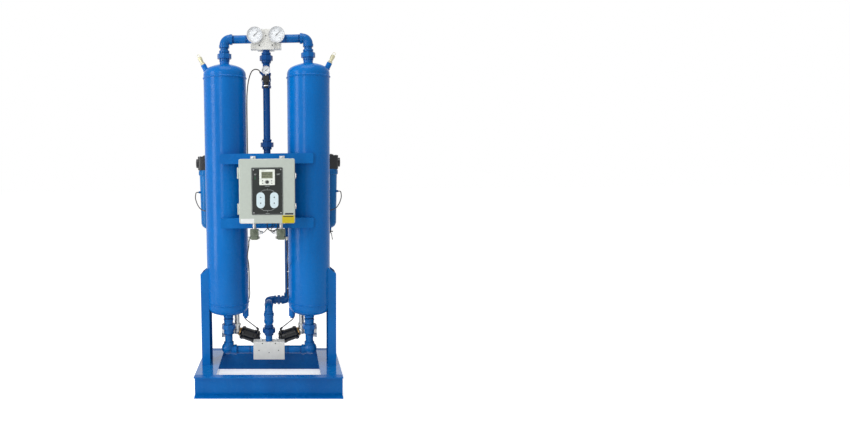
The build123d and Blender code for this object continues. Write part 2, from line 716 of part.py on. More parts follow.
def inlet_line():
    """From the right filter down behind its tower and forward to the lower block."""
    seat = RISER.reach - RISER.thread
    port = FILTER_X - HEAD_W / 2
    reducer_top = INLET_Z - RISER.reach
    union_half = RISER.union_l / 2
    middle = INLET_X / 2
    return [
        pipe((port + PORT_L, FILTER_Y, OUTLET_Z), (INLET_X + seat, FILTER_Y, OUTLET_Z), RISER),
        elbow((INLET_X, FILTER_Y, OUTLET_Z), (1, 0, 0), DOWN, RISER),
        pipe((INLET_X, FILTER_Y, OUTLET_Z - seat), (INLET_X, FILTER_Y, INLET_Z + seat), RISER),
        elbow((INLET_X, FILTER_Y, INLET_Z), UP, (-1, 0, 0), RISER),
        pipe((INLET_X - seat, FILTER_Y, INLET_Z), (seat, FILTER_Y, INLET_Z), RISER),
        prism_rod((middle - 9, FILTER_Y, INLET_Z), (1, 0, 0), 18, 31) - rod(
            (middle - 9, FILTER_Y, INLET_Z), (middle + 9, FILTER_Y, INLET_Z), RISER.r),
        elbow((0, FILTER_Y, INLET_Z), (1, 0, 0), FRONT, RISER),
        pipe((0, FILTER_Y - seat, INLET_Z), (0, seat, INLET_Z), RISER),
        elbow((0, 0, INLET_Z), REAR, DOWN, RISER),
        pipe((0, 0, INLET_Z - seat), (0, 0, reducer_top - REDUCER_L + 20), RISER),
        reducer(reducer_top - 1, REDUCER_L),
        pipe((0, 0, reducer_top - REDUCER_L + 18), (0, 0, INLET_UNION_Z + union_half - RISER.thread), RISER),
        pipe((0, 0, INLET_UNION_Z - union_half + RISER.thread), (0, 0, IN_BLOCK_HIGH - RISER.thread), RISER),
    ]


def reducer(top, length):
    """The banded coupling under the last elbow of the inlet line."""
    body = turned((0, 0, top), DOWN, [
        (REDUCER_R, 0), (REDUCER_R, 14), (REDUCER_R - 3, 17), (REDUCER_R - 3, length - 18),
        (REDUCER_R - 1, length - 15), (REDUCER_R - 4, length)])
    return body - rod((0, 0, top), (0, 0, top - length), RISER.r)


def filter_head(side):
    """A cast filter head with a threaded port at each side and a domed cap."""
    height = HEAD_TOP - HEAD_LOW
    middle = (HEAD_TOP + HEAD_LOW) / 2
    x = side * FILTER_X
    body = Pos(x, FILTER_Y, middle) * cased(HEAD_W - 24, HEAD_D, height, 22)
    body += rod((x - HEAD_W / 2, FILTER_Y, OUTLET_Z), (x + HEAD_W / 2, FILTER_Y, OUTLET_Z), 29)
    body += turned((x, FILTER_Y, HEAD_TOP), UP, [(26, 0), (24, 5), (15, 9)])
    for end in (-1, 1):
        face = (x + end * HEAD_W / 2, FILTER_Y, OUTLET_Z)
        port_r = RISER.r if end != side else PORT_R
        body -= rod(face, shift(face, (-end, 0, 0), PORT_L), port_r)
        body -= rod(face, shift(face, (-end, 0, 0), HEAD_W / 2 - 20), RISER.bore_r - 2)
    return body - rod((x, FILTER_Y, HEAD_LOW), (x, FILTER_Y, OUTLET_Z), 17)


def filter_bowl(side):
    """A tapered filter bowl hung from its collar, with a rounded foot and a drain stub."""
    drop = HEAD_LOW - BOWL_LOW
    outside = [
        (COLLAR_R - 2, 0), (COLLAR_R, 2), (COLLAR_R, COLLAR_H - 2), (COLLAR_R - 2, COLLAR_H),
        (BOWL_R, COLLAR_H + 3), (BOWL_TIP_R, drop - 32), (BOWL_TIP_R - 8, drop - 14),
        (BOWL_TIP_R - 22, drop - 3), (11, drop), (11, drop + 14)]
    inside = [
        (BOWL_R - BOWL_WALL, 0), (BOWL_R - BOWL_WALL, COLLAR_H), (BOWL_TIP_R - BOWL_WALL, drop - 34),
        (BOWL_TIP_R - 14, drop - 14), (4, drop - 8)]
    top = (side * FILTER_X, FILTER_Y, HEAD_LOW)
    bowl = turned(top, DOWN, outside) + rod(bowl_tap(side, BOWL_R - 6), bowl_tap(side, BOWL_R + TAP_L), TAP_R)
    return bowl - turned(top, DOWN, inside)


def filter_elements():
    """The cartridge inside each filter, held up against its head."""
    made = []
    for side in SIDES.values():
        top = (side * FILTER_X, FILTER_Y, HEAD_LOW)
        cap = 6
        made.append(turned(top, DOWN, [
            (ELEMENT_R + 3, 0), (ELEMENT_R + 3, cap), (ELEMENT_R, cap), (ELEMENT_R, ELEMENT_L - cap),
            (ELEMENT_R + 3, ELEMENT_L - cap), (ELEMENT_R + 3, ELEMENT_L)]))
    return made


def exhaust_centre(side):
    """Centre of an exhaust valve's globe."""
    return (side * EXHAUST_X, EXHAUST_Y, EXHAUST_Z)


def actuator_way(side):
    """The direction from an exhaust valve's globe to its actuator."""
    return (-side * ACTUATOR_DIR[0], ACTUATOR_DIR[1], ACTUATOR_DIR[2])


def exhaust_valve(side):
    """An angle-seat valve body: inlet leg up into the tower, outlet leg outward, bonnet towards the middle."""
    centre = exhaust_centre(side)
    way = actuator_way(side)
    body = Pos(*centre) * Sphere(GLOBE_R)
    outward = (side, 0, 0)
    for leg_way, reach in ((UP, EXHAUST_REACH), (outward, OUTLET_REACH)):
        end = shift(centre, leg_way, reach)
        body += rod(centre, end, EXHAUST_R + 4)
        body += prism_rod(shift(end, leg_way, -14), leg_way, 14, LEG_HEX_R)
    body += rod(shift(centre, UP, EXHAUST_REACH - 4), (centre[0], centre[1], PORT_BOSS_Z + 14), EXHAUST_R)
    body += rod(centre, shift(centre, way, ACTUATOR_NECK - 10), EXHAUST_R + 3)
    outlet = shift(centre, outward, OUTLET_REACH)
    return body - rod(outlet, shift(outlet, outward, -MUFFLER_THREAD), EXHAUST_R)


def exhaust_actuator(side):
    """The piston actuator: a bonnet nut, a ribbed cylinder, a domed cap and the air port."""
    centre = exhaust_centre(side)
    way = actuator_way(side)
    nut = shift(centre, way, ACTUATOR_NECK - 10)
    body = prism_rod(nut, way, 10, BONNET_RING_R)
    start = shift(centre, way, ACTUATOR_NECK)
    body += turned(start, way, [
        (ACTUATOR_R * 0.6, -1), (ACTUATOR_R - 4, 8), (ACTUATOR_R - 3, ACTUATOR_L * 0.62),
        (ACTUATOR_R, ACTUATOR_L * 0.62 + 2), (ACTUATOR_R, ACTUATOR_L * 0.8),
        (ACTUATOR_R - 3, ACTUATOR_L * 0.82), (ACTUATOR_R - 6, ACTUATOR_L - 6), (ACTUATOR_R - 14, ACTUATOR_L)])
    port = shift(start, way, ACTUATOR_L * ACTUATOR_PORT)
    knee = shift(port, actuator_port_way(side), ACTUATOR_R + 10)
    body += rod(port, knee, FITTING_R) + Pos(*knee) * Sphere(FITTING_R)
    body += rod(knee, actuator_port(side), FITTING_R)
    return body


def actuator_port_way(side):
    """The air port's direction: square to the actuator's axis and as near upright as that allows."""
    way = Vector(*actuator_way(side)).normalized()
    up = Vector(0, 0, 1)
    return tuple((up - way * up.dot(way)).normalized())


def actuator_port(side):
    """The mouth of the swivel fitting on an actuator, which leans back towards its tube."""
    start = shift(exhaust_centre(side), actuator_way(side), ACTUATOR_NECK)
    port = shift(start, actuator_way(side), ACTUATOR_L * ACTUATOR_PORT)
    knee = shift(port, actuator_port_way(side), ACTUATOR_R + 10)
    return shift(knee, (side * 0.70, -0.08, 0.70), 14)


def muffler(side):
    """An exhaust muffler: a closed can with a rolled rim at each end and a threaded neck."""
    outward = (side, 0, 0)
    start = shift(exhaust_centre(side), outward, OUTLET_REACH)
    can = MUFFLER_NECK
    return turned(start, outward, [
        (EXHAUST_R, -MUFFLER_THREAD), (EXHAUST_R, can), (MUFFLER_R - 4, can + 4), (MUFFLER_R, can + 6),
        (MUFFLER_R, can + 12), (MUFFLER_R - 3, can + 14), (MUFFLER_R - 3, MUFFLER_L - 8),
        (MUFFLER_R, MUFFLER_L - 6), (MUFFLER_R, MUFFLER_L), (MUFFLER_R - 5, MUFFLER_L + 2)])


def relief_way(side):
    """The direction in which a safety valve leans out."""
    return (side * sin(radians(RELIEF_TILT)), 0, cos(radians(RELIEF_TILT)))


def relief_valve(side):
    """A safety valve screwed into its boss: thread, hex, body with vents and spring housing."""
    way = relief_way(side)
    base = shift((side * RELIEF_X, 0, RELIEF_Z), way, RELIEF_BOSS_L)
    body = rod(shift(base, way, -14), base, 8)
    body += prism_rod(base, way, 11, RELIEF_HEX_R)
    body += turned(base, way, [(8.5, 10), (10, 14), (12, 32), (13, 34), (13, RELIEF_L - 3), (10, RELIEF_L)])
    for angle in (0, 90):
        across = frame(shift(base, way, 22), way) * Rot(0, 90, angle) * Cylinder(2.5, 40)
        body -= across
    return body - rod(shift(base, way, RELIEF_L - 16), shift(base, way, RELIEF_L), 3)


def relief_stem(side):
    """The test stem of a safety valve, with the ring that lifts it."""
    way = relief_way(side)
    base = shift((side * RELIEF_X, 0, RELIEF_Z), way, RELIEF_BOSS_L)
    top = shift(base, way, RELIEF_L)
    stem = rod(shift(base, way, RELIEF_L - 15), shift(top, way, 3), 2.95)
    ring_centre = shift(top, way, 9.5)
    ring = Plane(origin=ring_centre, x_dir=way, z_dir=FRONT).location * Torus(8, 1.4)
    return stem + ring


def enclosure_body():
    """The back shell: rounded box, open to the front, with a lip, two hubs and the hinge knuckles."""
    middle = BOX_BACK - BOX_D / 2
    body = Pos(BOX_X, middle, BOX_Z) * Rot(90, 0, 0) * cased(BOX_W - 2 * LIP, BOX_H - 2 * LIP, BOX_D, BOX_EDGE)
    lip_y = BOX_BACK - BOX_D + 5
    body += Pos(BOX_X, lip_y, BOX_Z) * Rot(90, 0, 0) * cased(BOX_W, BOX_H, 10, BOX_EDGE)
    hollow_w = BOX_W - 2 * LIP - 2 * BOX_WALL
    hollow_h = BOX_H - 2 * LIP - 2 * BOX_WALL
    body -= Pos(BOX_X, middle - BOX_WALL, BOX_Z) * Rot(90, 0, 0) * cased(hollow_w, hollow_h, BOX_D, BOX_EDGE - BOX_WALL)
    for side in SIDES.values():
        x = BOX_X + side * SOLENOID_X
        body -= rod((x, SOLENOID_Y, BOX_LOW - 1), (x, SOLENOID_Y, BOX_LOW + LIP + BOX_WALL + 1), HUB_R - 3)
    body += rod((SUPPLY_X, BOX_BACK - 1, SUPPLY_Z), (SUPPLY_X, BOX_BACK + 8, SUPPLY_Z), TAP_R)
    body -= rod((SUPPLY_X, BOX_BACK + 2, SUPPLY_Z), (SUPPLY_X, BOX_BACK + 8, SUPPLY_Z), TUBE_R)
    for rise in (-HINGE_RISE, HINGE_RISE):
        body += knuckle(rise, -1)
    return body - hinge_bore()


def hinge_axis():
    """Where the door's upright hinge axis crosses the floor plane, as (x, y)."""
    return (BOX_X - BOX_W / 2 - HINGE_R - 1, BOX_BACK - BOX_D - SEAL_T / 2)


def knuckle(rise, part):
    """One half of a hinge: the lower barrel (part -1) or the upper one (part 1), with its leaf."""
    x, y = hinge_axis()
    half = HINGE_L / 2
    start = BOX_Z + rise + (0.25 if part > 0 else -half)
    length = half - 0.25 if part > 0 else half
    barrel = Pos(x, y, start + length / 2) * Cylinder(HINGE_R, length)
    leaf_y = y - part * (HINGE_R / 2 + SEAL_T / 2)
    leaf = Pos(x + HINGE_R / 2 + 1.5, leaf_y, start + length / 2) * Box(HINGE_R + 3, 4, length)
    return barrel + leaf


def hinge_bore():
    """The pin holes through both hinges."""
    x, y = hinge_axis()
    bores = [Pos(x, y, BOX_Z + rise) * Cylinder(PIN_R, HINGE_L + 4) for rise in (-HINGE_RISE, HINGE_RISE)]
    return bores[0] + bores[1]


def hinge_pins():
    """The two headed hinge pins."""
    x, y = hinge_axis()
    made = []
    for rise in (-HINGE_RISE, HINGE_RISE):
        low = BOX_Z + rise - HINGE_L / 2
        made.append(turned((x, y, low), UP, [(PIN_R, 0), (PIN_R, HINGE_L + 0.4), (4, HINGE_L + 0.4), (3, HINGE_L + 2.4)]))
    return made


def enclosure_door():
    """The door: a shallow tray with rounded edges, its turned-in rim closing on the seal."""
    front = BOX_BACK - BOX_D - SEAL_T
    middle = front - DOOR_T / 2 + SEAL_T / 2
    depth = DOOR_T - SEAL_T
    door = Pos(BOX_X, middle, BOX_Z) * Rot(90, 0, 0) * cased(BOX_W, BOX_H, depth, BOX_EDGE)
    door = fillet(door.faces().sort_by(Axis.Y)[0].edges(), 5)
    inner = Rot(90, 0, 0) * cased(BOX_W - 2 * BOX_WALL, BOX_H - 2 * BOX_WALL, depth, BOX_EDGE - BOX_WALL)
    door -= Pos(BOX_X, middle + BOX_WALL, BOX_Z) * inner
    x, y = hinge_axis()
    for rise in (-HINGE_RISE, HINGE_RISE):
        door += knuckle(rise, 1)
        door -= Pos(x, y, BOX_Z + rise - HINGE_L / 4) * Cylinder(HINGE_R + 0.5, HINGE_L / 2)
        door -= Pos(x, y, BOX_Z + rise + HINGE_L / 4) * Cylinder(PIN_R + PIN_CLEAR, HINGE_L / 2)
    return door - controller_pocket()


def door_seal():
    """The seal strip between the shell's lip and the door's rim."""
    y = BOX_BACK - BOX_D - SEAL_T / 2 + 0.15
    ring = RectangleRounded(BOX_W - 2 * BOX_WALL - 2, BOX_H - 2 * BOX_WALL - 2, BOX_EDGE - BOX_WALL)
    ring -= RectangleRounded(BOX_W - 2 * LIP - 2, BOX_H - 2 * LIP - 2, 2)
    return Pos(BOX_X, y, BOX_Z) * Rot(90, 0, 0) * extrude(ring, (SEAL_T - 0.3) / 2, both=True)


def controller_centre():
    """Centre of the controller's face."""
    return (BOX_X + 2, CONTROL_FRONT, BOX_Z + CONTROL_RISE)


def controller_pocket():
    """The opening in the door and the panel that the controller stands through."""
    x, y, z = controller_centre()
    return Pos(x, y + 20, z) * Box(CONTROL_W - 6, 40, CONTROL_H - 6)


def door_panel():
    """The thin printed panel on the door."""
    y = DOOR_FRONT - PANEL_T / 2
    body = Pos(BOX_X + 2, y, BOX_Z) * Rot(90, 0, 0) * cased(PANEL_W, PANEL_H, PANEL_T, 7)
    return body - controller_pocket()


def controller():
    """The programmable controller: face with its window, key wells and the case behind the door."""
    x, y, z = controller_centre()
    face = Pos(x, y + CONTROL_D / 2, z) * Rot(90, 0, 0) * cased(CONTROL_W, CONTROL_H, CONTROL_D, 3)
    face = fillet(face.faces().sort_by(Axis.Y)[0].edges(), 1.5)
    case = Pos(x, y + CONTROL_D + 25, z) * Box(CONTROL_W - 8, 50, CONTROL_H - 8)
    window = Pos(x, y + 1, z + 12) * Box(62, 3, 37)
    body = face + case - window
    body -= rod((x, y, z - ROCKER_DROP), (x, y + 5, z - ROCKER_DROP), ROCKER_R + 0.4)
    for spot in key_spots():
        body -= rod(spot, shift(spot, REAR, 4), KEY_R + 0.3)
    return body


def key_spots():
    """The four small keys beside the rocker."""
    x, y, z = controller_centre()
    return [(x + side * KEY_X, y, z - ROCKER_DROP + rise) for side in (-1, 1) for rise in (-7, 7)]


def rocker():
    """The diamond-shaped rocker key."""
    x, y, z = controller_centre()
    centre = (x, y - 1, z - ROCKER_DROP)
    key = prism_rod(centre, REAR, 4, ROCKER_R, 4)
    return key


def key(spot):
    """One small round key, standing a little proud of the face."""
    return rod(shift(spot, FRONT, 0.8), shift(spot, REAR, 3), KEY_R)


def latch(rise):
    """A side latch on the door: bearing block, lever and finger lip."""
    x = BOX_X + BOX_W / 2
    y = BOX_BACK - BOX_D - SEAL_T - 12
    z = BOX_Z + rise
    lever = Pos(x + 1.2 + LATCH_T / 2, y + LATCH_L / 2 - 6.5, z)
    plate = lever * Rot(0, 90, 0) * cased(LATCH_H, LATCH_L, LATCH_T * 0.5, 5)
    barrel = Pos(x + 0.6 + LATCH_T / 2, y - 4, z) * Cylinder(LATCH_T / 2, LATCH_H - 6)
    return plate + barrel - Pos(x + 0.6 + LATCH_T / 2, y - 4, z) * Cylinder(1.5, LATCH_H)


def latch_pins():
    """The pin and its two ears on the door's side, for each latch."""
    made = []
    for rise in (-LATCH_RISE, LATCH_RISE):
        x = BOX_X + BOX_W / 2
        y = BOX_BACK - BOX_D - SEAL_T - 16
        z = BOX_Z + rise
        pin = Pos(x + 0.6 + LATCH_T / 2, y, z) * Cylinder(1.45, LATCH_H + 4)
        for end in (-1, 1):
            pin += Pos(x + 0.3 + LATCH_T / 2, y, z + end * (LATCH_H / 2 + 2.1)) * Box(LATCH_T + 0.6, 5, 3)
        made.append(pin)
    return made


def mounting_feet():
    """Four strap feet behind the enclosure, each bolted to a bracket."""
    made = []
    for x in (-FOOT_X, FOOT_X):
        for end, bracket_z in ((1, BRACKET_ZS["upper"]), (-1, BRACKET_ZS["lower"])):
            top = BOX_Z + end * (BOX_H / 2 + FOOT_RISE)
            length = FOOT_RISE + 24
            y = BRACKET_FRONT - FOOT_T / 2
            strap = Pos(BOX_X + x, y, top - end * length / 2) * Box(FOOT_W, FOOT_T, length)
            bolt_z = top - end * 9
            strap += prism_rod((BOX_X + x, BRACKET_FRONT - FOOT_T, bolt_z), FRONT, 5, BOLT_HEAD_R)
            made.append(strap)
    return made


def solenoid(side):
    """A pilot solenoid valve hung from a hub: silver hub and nipple, coil, valve body and two ports."""
    x = BOX_X + side * SOLENOID_X
    hub = turned((x, SOLENOID_Y, BOX_LOW + LIP), DOWN, [
        (HUB_R - 3, -6), (HUB_R - 3, 0), (HUB_R + 3, 0), (HUB_R + 3, 7), (HUB_R - 3, 9),
        (HUB_R - 3, HUB_L + LIP - 8), (HUB_R, HUB_L + LIP - 6), (HUB_R, HUB_L + LIP + 2)])
    coil = Pos(x, SOLENOID_Y, SOLENOID_LOW - COIL_H / 2) * cased(COIL_W, COIL_D, COIL_H, 8)
    coil = fillet(coil.edges().filter_by(GeomType.LINE, reverse=True), 3)
    valve_z = SOLENOID_LOW - COIL_H - VALVE_H / 2
    valve = Pos(x, SOLENOID_Y, valve_z) * cased(COIL_W - 14, COIL_D - 10, VALVE_H, 3)
    body = hub + coil + valve
    for end in (-1, 1):
        face = (x + end * (COIL_W - 14) / 2, SOLENOID_Y, valve_z)
        body += rod(face, shift(face, (end, 0, 0), 14), FITTING_R)
        body += prism_rod(face, (end, 0, 0), 7, FITTING_R + 2.5)
    knee = shift(solenoid_port(side, side), UP, KNEE_DROP)
    return body + Pos(*knee) * Sphere(FITTING_R) + rod(knee, solenoid_port(side, side), FITTING_R)


def solenoid_port(side, end):
    """The mouth of a solenoid valve's side fitting; the outer one turns down."""
    x = BOX_X + side * SOLENOID_X + end * ((COIL_W - 14) / 2 + 14)
    drop = KNEE_DROP if end == side else 0
    return (x, SOLENOID_Y, SOLENOID_LOW - COIL_H - VALVE_H / 2 - drop)


def bend_radii(points):
    """For each inner point the largest tangent arc that its two runs leave room for."""
    radii = []
    for before, here, after in zip(points, points[1:], points[2:]):
        first = Vector(*here) - Vector(*before)
        second = Vector(*after) - Vector(*here)
        half_turn = radians(first.get_angle(second)) / 2
        radii.append(0.45 * min(first.length, second.length) / tan(half_turn))
    return radii


def tube(points, radius=TUBE_R):
    """A length of nylon tube through hand-set points, with a tangent bend at each inner one."""
    radii = bend_radii(points)
    print("tube", radius, "bends", [round(bend) for bend in radii])
    path = FilletPolyline(*points, radius=radii)
    start = frame(points[0], Vector(*points[1]) - Vector(*points[0]))
    return sweep(start * Circle(radius), path=path)


def pilot_tube(side):
    """From a solenoid valve down its tower's inner side and round behind the head to the actuator."""
    start = solenoid_port(side, side)
    beside = TOWER_PITCH / 2 - TOWER_R - WELD_H - TUBE_R - 0.5
    near = abs(start[0])
    route = [(near + 1, -233, 888), ((near + 121) / 2, -208, 848), (119, -160, 812), (beside, -94, 782),
             (beside, -30, 735), (beside, -8, 660), (beside, -1, 590), (117, 22, 550), (127, 62, 500), (152, 88, 452),
             (165, 86, 412), (155, 80, 380)]
    points = [start] + [(side * x, y, z) for x, y, z in route] + [actuator_port(side)]
    return tube(points)


def supply_tube():
    """From a tap on the riser over to the left tower and down to the enclosure."""
    start = shift(SUPPLY_TAP, SUPPLY_WAY, SUPPLY_TAP_L)
    beside = -(TOWER_PITCH / 2 - TOWER_R - WELD_H - TUBE_R - 0.5)
    points = [start, (-44, -20, 1911), (-66, -25, 1916.5), (-85, -28, 1905), (-98, -30, 1878),
              (-109, -31, 1833), (beside + 1.5, -31, 1770), (beside, -29, 1690), (beside, -26, 1440), (beside + 3, -42, 1360),
              (SUPPLY_X - 4, -84, 1304), (SUPPLY_X, BOX_BACK + 34, 1290), (SUPPLY_X, BOX_BACK + 2, 1290)]
    return tube(points)


def bowl_tap(side, reach):
    """A point on the axis of the bowl's side fitting, at a distance from the bowl's own axis."""
    angle = radians(BOWL_TAP_ANGLE)
    return (side * (FILTER_X + reach * cos(angle)), FILTER_Y - reach * sin(angle), BOWL_TAP_Z)


def shell_tap_x(side, stand):
    """Where the tower's side fitting reaches, standing off the shell."""
    return side * (TOWER_PITCH / 2 + sqrt(TOWER_R ** 2 - SHELL_TAP_Y ** 2) + stand)


def drain_tube(side):
    """From a fitting on the filter bowl out and down to the tower's side."""
    start = bowl_tap(side, BOWL_R + TAP_L)
    end = (shell_tap_x(side, TAP_L), SHELL_TAP_Y, SHELL_TAP_Z)
    out = bowl_tap(side, BOWL_R + 2.8 * TAP_L)
    near = (shell_tap_x(side, 2.8 * TAP_L), SHELL_TAP_Y, SHELL_TAP_Z)
    route = [(461, 119, 1146), (446, 98, 1106), (422, 76, 1076)]
    points = [start, out] + [(side * x, y, z) for x, y, z in route] + [near, end]
    return tube(points, DRAIN_TUBE_R)


def solids_of(made):
    """A flat list of single solids."""
    found = []
    for shape in made:
        found.extend(shape.solids())
    return found


def build():
    """Every sub-part, by node name."""
    nodes = {}
    for name, rail in skid_rails().items():
        nodes["skid_rail_" + name] = [rail]
    for name, side in SIDES.items():
        nodes["leg_" + name] = [leg(side)]
        nodes["tower_" + name] = [tower(side)]
        nodes["gauge_case_" + name] = [tower_gauge(side)]
        nodes["gauge_pointer_" + name] = [pointer(tower_gauge_centre(side), 34)]
        nodes["relief_stem_" + name] = [relief_stem(side)]
    nodes["brackets"] = [bracket(height) for height in BRACKET_ZS.values()]
    nodes["desiccant_beds"] = [bed(side) for side in SIDES.values()]
    nodes["bed_screens"] = screens()
    nodes["drain_plugs"] = drain_plugs()
    nodes["header_nipples"] = header_nipples()
    nodes["header_unions"] = header_unions()
    nodes["header_pipes"] = header_pipes()
    nodes["header_elbows"] = header_elbows()
    nodes["inlet_block"] = [inlet_block()]
    nodes["inlet_shuttle"] = [shuttle(BOTTOM_Z, IN_SEAT_X)]
    nodes["outlet_block"] = [outlet_block()]
    nodes["outlet_shuttle"] = [shuttle(TOP_Z, OUT_SEAT_X)]
    nodes["gauge_case_small"] = [small_gauge()]
    nodes["gauge_pointer_small"] = [pointer(small_centre(), 15)]
    lenses = [lens(tower_gauge_centre(side), GAUGE_R) for side in SIDES.values()]
    nodes["gauge_lenses"] = lenses + [lens(small_centre(), SMALL_R)]
    nodes["riser_pipes"] = riser_pipes()
    nodes["line_unions"] = line_unions()
    nodes["riser_tee"] = [riser_tee()]
    nodes["pilot_regulator"] = [regulator()]
    nodes["regulator_knob"] = [regulator_knob()]
    nodes["outlet_line"] = outlet_line()
    nodes["inlet_line"] = inlet_line()
    nodes["filter_heads"] = [filter_head(side) for side in SIDES.values()]
    nodes["filter_bowls"] = [filter_bowl(side) for side in SIDES.values()]
    nodes["filter_elements"] = filter_elements()
    nodes["exhaust_valves"] = [exhaust_valve(side) for side in SIDES.values()]
    nodes["exhaust_actuators"] = [exhaust_actuator(side) for side in SIDES.values()]
    nodes["mufflers"] = [muffler(side) for side in SIDES.values()]
    nodes["relief_valves"] = [relief_valve(side) for side in SIDES.values()]
    nodes["enclosure_body"] = [enclosure_body()]
    nodes["enclosure_door"] = [enclosure_door()]
    nodes["door_seal"] = [door_seal()]
    nodes["hinge_pins"] = hinge_pins()
    nodes["mounting_feet"] = mounting_feet()
    nodes["door_panel"] = [door_panel()]
    nodes["controller"] = [controller()]
    nodes["controller_rocker"] = [rocker()]
    for number, spot in enumerate(key_spots(), 1):
        nodes[f"controller_key_{number}"] = [key(spot)]
    nodes["latch_upper"] = [latch(LATCH_RISE)]
    nodes["latch_lower"] = [latch(-LATCH_RISE)]
    nodes["latch_pins"] = latch_pins()
    nodes["solenoid_valves"] = [solenoid(side) for side in SIDES.values()]
    tubes = [pilot_tube(side) for side in SIDES.values()] + [drain_tube(side) for side in SIDES.values()]
    nodes["air_tubes"] = tubes + [supply_tube()]
    return nodes


os.makedirs("parts", exist_ok=True)
for node, made in build().items():
    solids = [Pos(0, AXES_Y, 0) * solid for solid in solids_of(made)]
    export_step(solids[0] if len(solids) == 1 else Compound(children=solids), f"parts/{node}.step")
    print(node, len(solids))
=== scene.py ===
# %% [markdown]
# # A laboratory air dryer, dressed in Blender
# The dryer is two tall pressure towers on a channel-iron skid. Air is pushed through one tower
# of drying beads while the other is blown clean, and a small control box swaps them over.
# The solid parts arrive already shaped, in metres, with the floor at Z = 0 and the front facing -Y.
# This lesson gives each of them its finish, and adds what is too fine for the solids:
# dial faces, nuts, printed panels, weld ripples, cable, clips and screws.

# %% Tools and the frame
import math

import bmesh
import bpy
from mathutils import Matrix, Vector


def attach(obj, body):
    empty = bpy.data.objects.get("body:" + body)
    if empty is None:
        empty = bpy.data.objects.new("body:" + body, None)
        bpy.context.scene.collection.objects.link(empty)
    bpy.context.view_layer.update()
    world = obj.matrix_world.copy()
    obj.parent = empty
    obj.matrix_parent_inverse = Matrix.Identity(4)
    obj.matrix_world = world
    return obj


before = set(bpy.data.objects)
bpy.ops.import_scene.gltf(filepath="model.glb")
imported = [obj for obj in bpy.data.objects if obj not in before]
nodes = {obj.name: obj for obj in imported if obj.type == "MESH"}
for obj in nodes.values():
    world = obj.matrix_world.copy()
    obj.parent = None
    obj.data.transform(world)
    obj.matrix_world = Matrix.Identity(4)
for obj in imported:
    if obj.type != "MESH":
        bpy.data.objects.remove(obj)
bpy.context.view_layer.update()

# %% [markdown]
# ## The camera
# The picture was taken from a little above the control box, slightly right of the middle, with a
# moderately wide lens. The dryer stands left of the picture's centre, which a sideways shift of the
# lens gives without turning the camera, so that the towers stay upright. Turning it instead would
# have made the two towers lean apart.

# %% The camera
LENS_MM = 23.88
CAMERA_AT = (0.0931, -3.3966, 1.3303)
TURN_LEFT = 0.0269
LOOK_DOWN = 0.0789
ROLL = 0.0102
PICTURE_SHIFT = 0.1848

camera_data = bpy.data.cameras.new("camera")
camera_data.sensor_width = 36.0
camera_data.sensor_fit = "HORIZONTAL"
camera_data.lens = LENS_MM
camera_data.shift_x = PICTURE_SHIFT
camera_data.clip_end = 60.0
camera = bpy.data.objects.new("camera", camera_data)
camera.matrix_world = (
    Matrix.Translation(CAMERA_AT)
    @ Matrix.Rotation(TURN_LEFT, 4, "Z")
    @ Matrix.Rotation(math.pi / 2 - LOOK_DOWN, 4, "X")
    @ Matrix.Rotation(-ROLL, 4, "Z")
)
bpy.context.scene.collection.objects.link(camera)
bpy.context.scene.camera = camera
bpy.context.scene.view_settings.view_transform = "Standard"
print("camera at", tuple(round(v, 3) for v in camera.location))

# %% [markdown]
# ## Studio: white surroundings, a pale floor and soft lamps
# Product pictures like this one are shot against white. The world is white only for rays that look
# at it straight, in a reflection or through glass, and gives a gentler light to everything else.
# That keeps a white backdrop without washing out the paint. The floor is a very pale sheet that still
# holds the skid's soft shadow.

# %% World and floor
WORLD_LIGHT = 0.52


def white_to_look_at(tree):
    """A value that is 1 for rays that look at the backdrop, reflect it or pass through glass."""
    path = tree.nodes.new("ShaderNodeLightPath")
    seen = path.outputs["Is Camera Ray"]
    for name in ("Is Glossy Ray", "Is Transmission Ray"):
        either = tree.nodes.new("ShaderNodeMath")
        either.operation = "MAXIMUM"
        tree.links.new(seen, either.inputs[0])
        tree.links.new(path.outputs[name], either.inputs[1])
        seen = either.outputs[0]
    return seen


world = bpy.data.worlds.new("studio")
bpy.context.scene.world = world
world.use_nodes = True
tree = world.node_tree
background = tree.nodes["Background"]
strength = tree.nodes.new("ShaderNodeMapRange")
strength.inputs["To Min"].default_value = WORLD_LIGHT
strength.inputs["To Max"].default_value = 1.0
tree.links.new(white_to_look_at(tree), strength.inputs["Value"])
tree.links.new(strength.outputs["Result"], background.inputs["Strength"])
background.inputs["Color"].default_value = (1, 1, 1, 1)

floor_bm = bmesh.new()
bmesh.ops.create_grid(floor_bm, x_segments=8, y_segments=8, size=30.0)
floor_mesh = bpy.data.meshes.new("floor")
floor_bm.to_mesh(floor_mesh)
floor_bm.free()
floor = bpy.data.objects.new("floor", floor_mesh)
bpy.context.scene.collection.objects.link(floor)
paper = bpy.data.materials.new("backdrop_paper")
paper.use_nodes = True
tree = paper.node_tree
shader = tree.nodes["Principled BSDF"]
shader.inputs["Base Color"].default_value = (0.93, 0.93, 0.93, 1)
shader.inputs["Roughness"].default_value = 0.9
shader.inputs["Specular IOR Level"].default_value = 0.0
shader.inputs["Emission Color"].default_value = (1, 1, 1, 1)
glow = tree.nodes.new("ShaderNodeMath")
glow.operation = "MULTIPLY"
glow.inputs[1].default_value = 0.53
tree.links.new(white_to_look_at(tree), glow.inputs[0])
tree.links.new(glow.outputs[0], shader.inputs["Emission Strength"])
floor_mesh.materials.append(paper)
print("floor and world ready")

# %% [markdown]
# A tall soft lamp on the left draws the long bright line down each tower. A weaker one on the right
# and a wide one overhead fill the shadows. Tall narrow lamps suit upright cylinders, because the
# reflection of a lamp on a cylinder is as tall as the cylinder, but very thin.

# %% Lamps


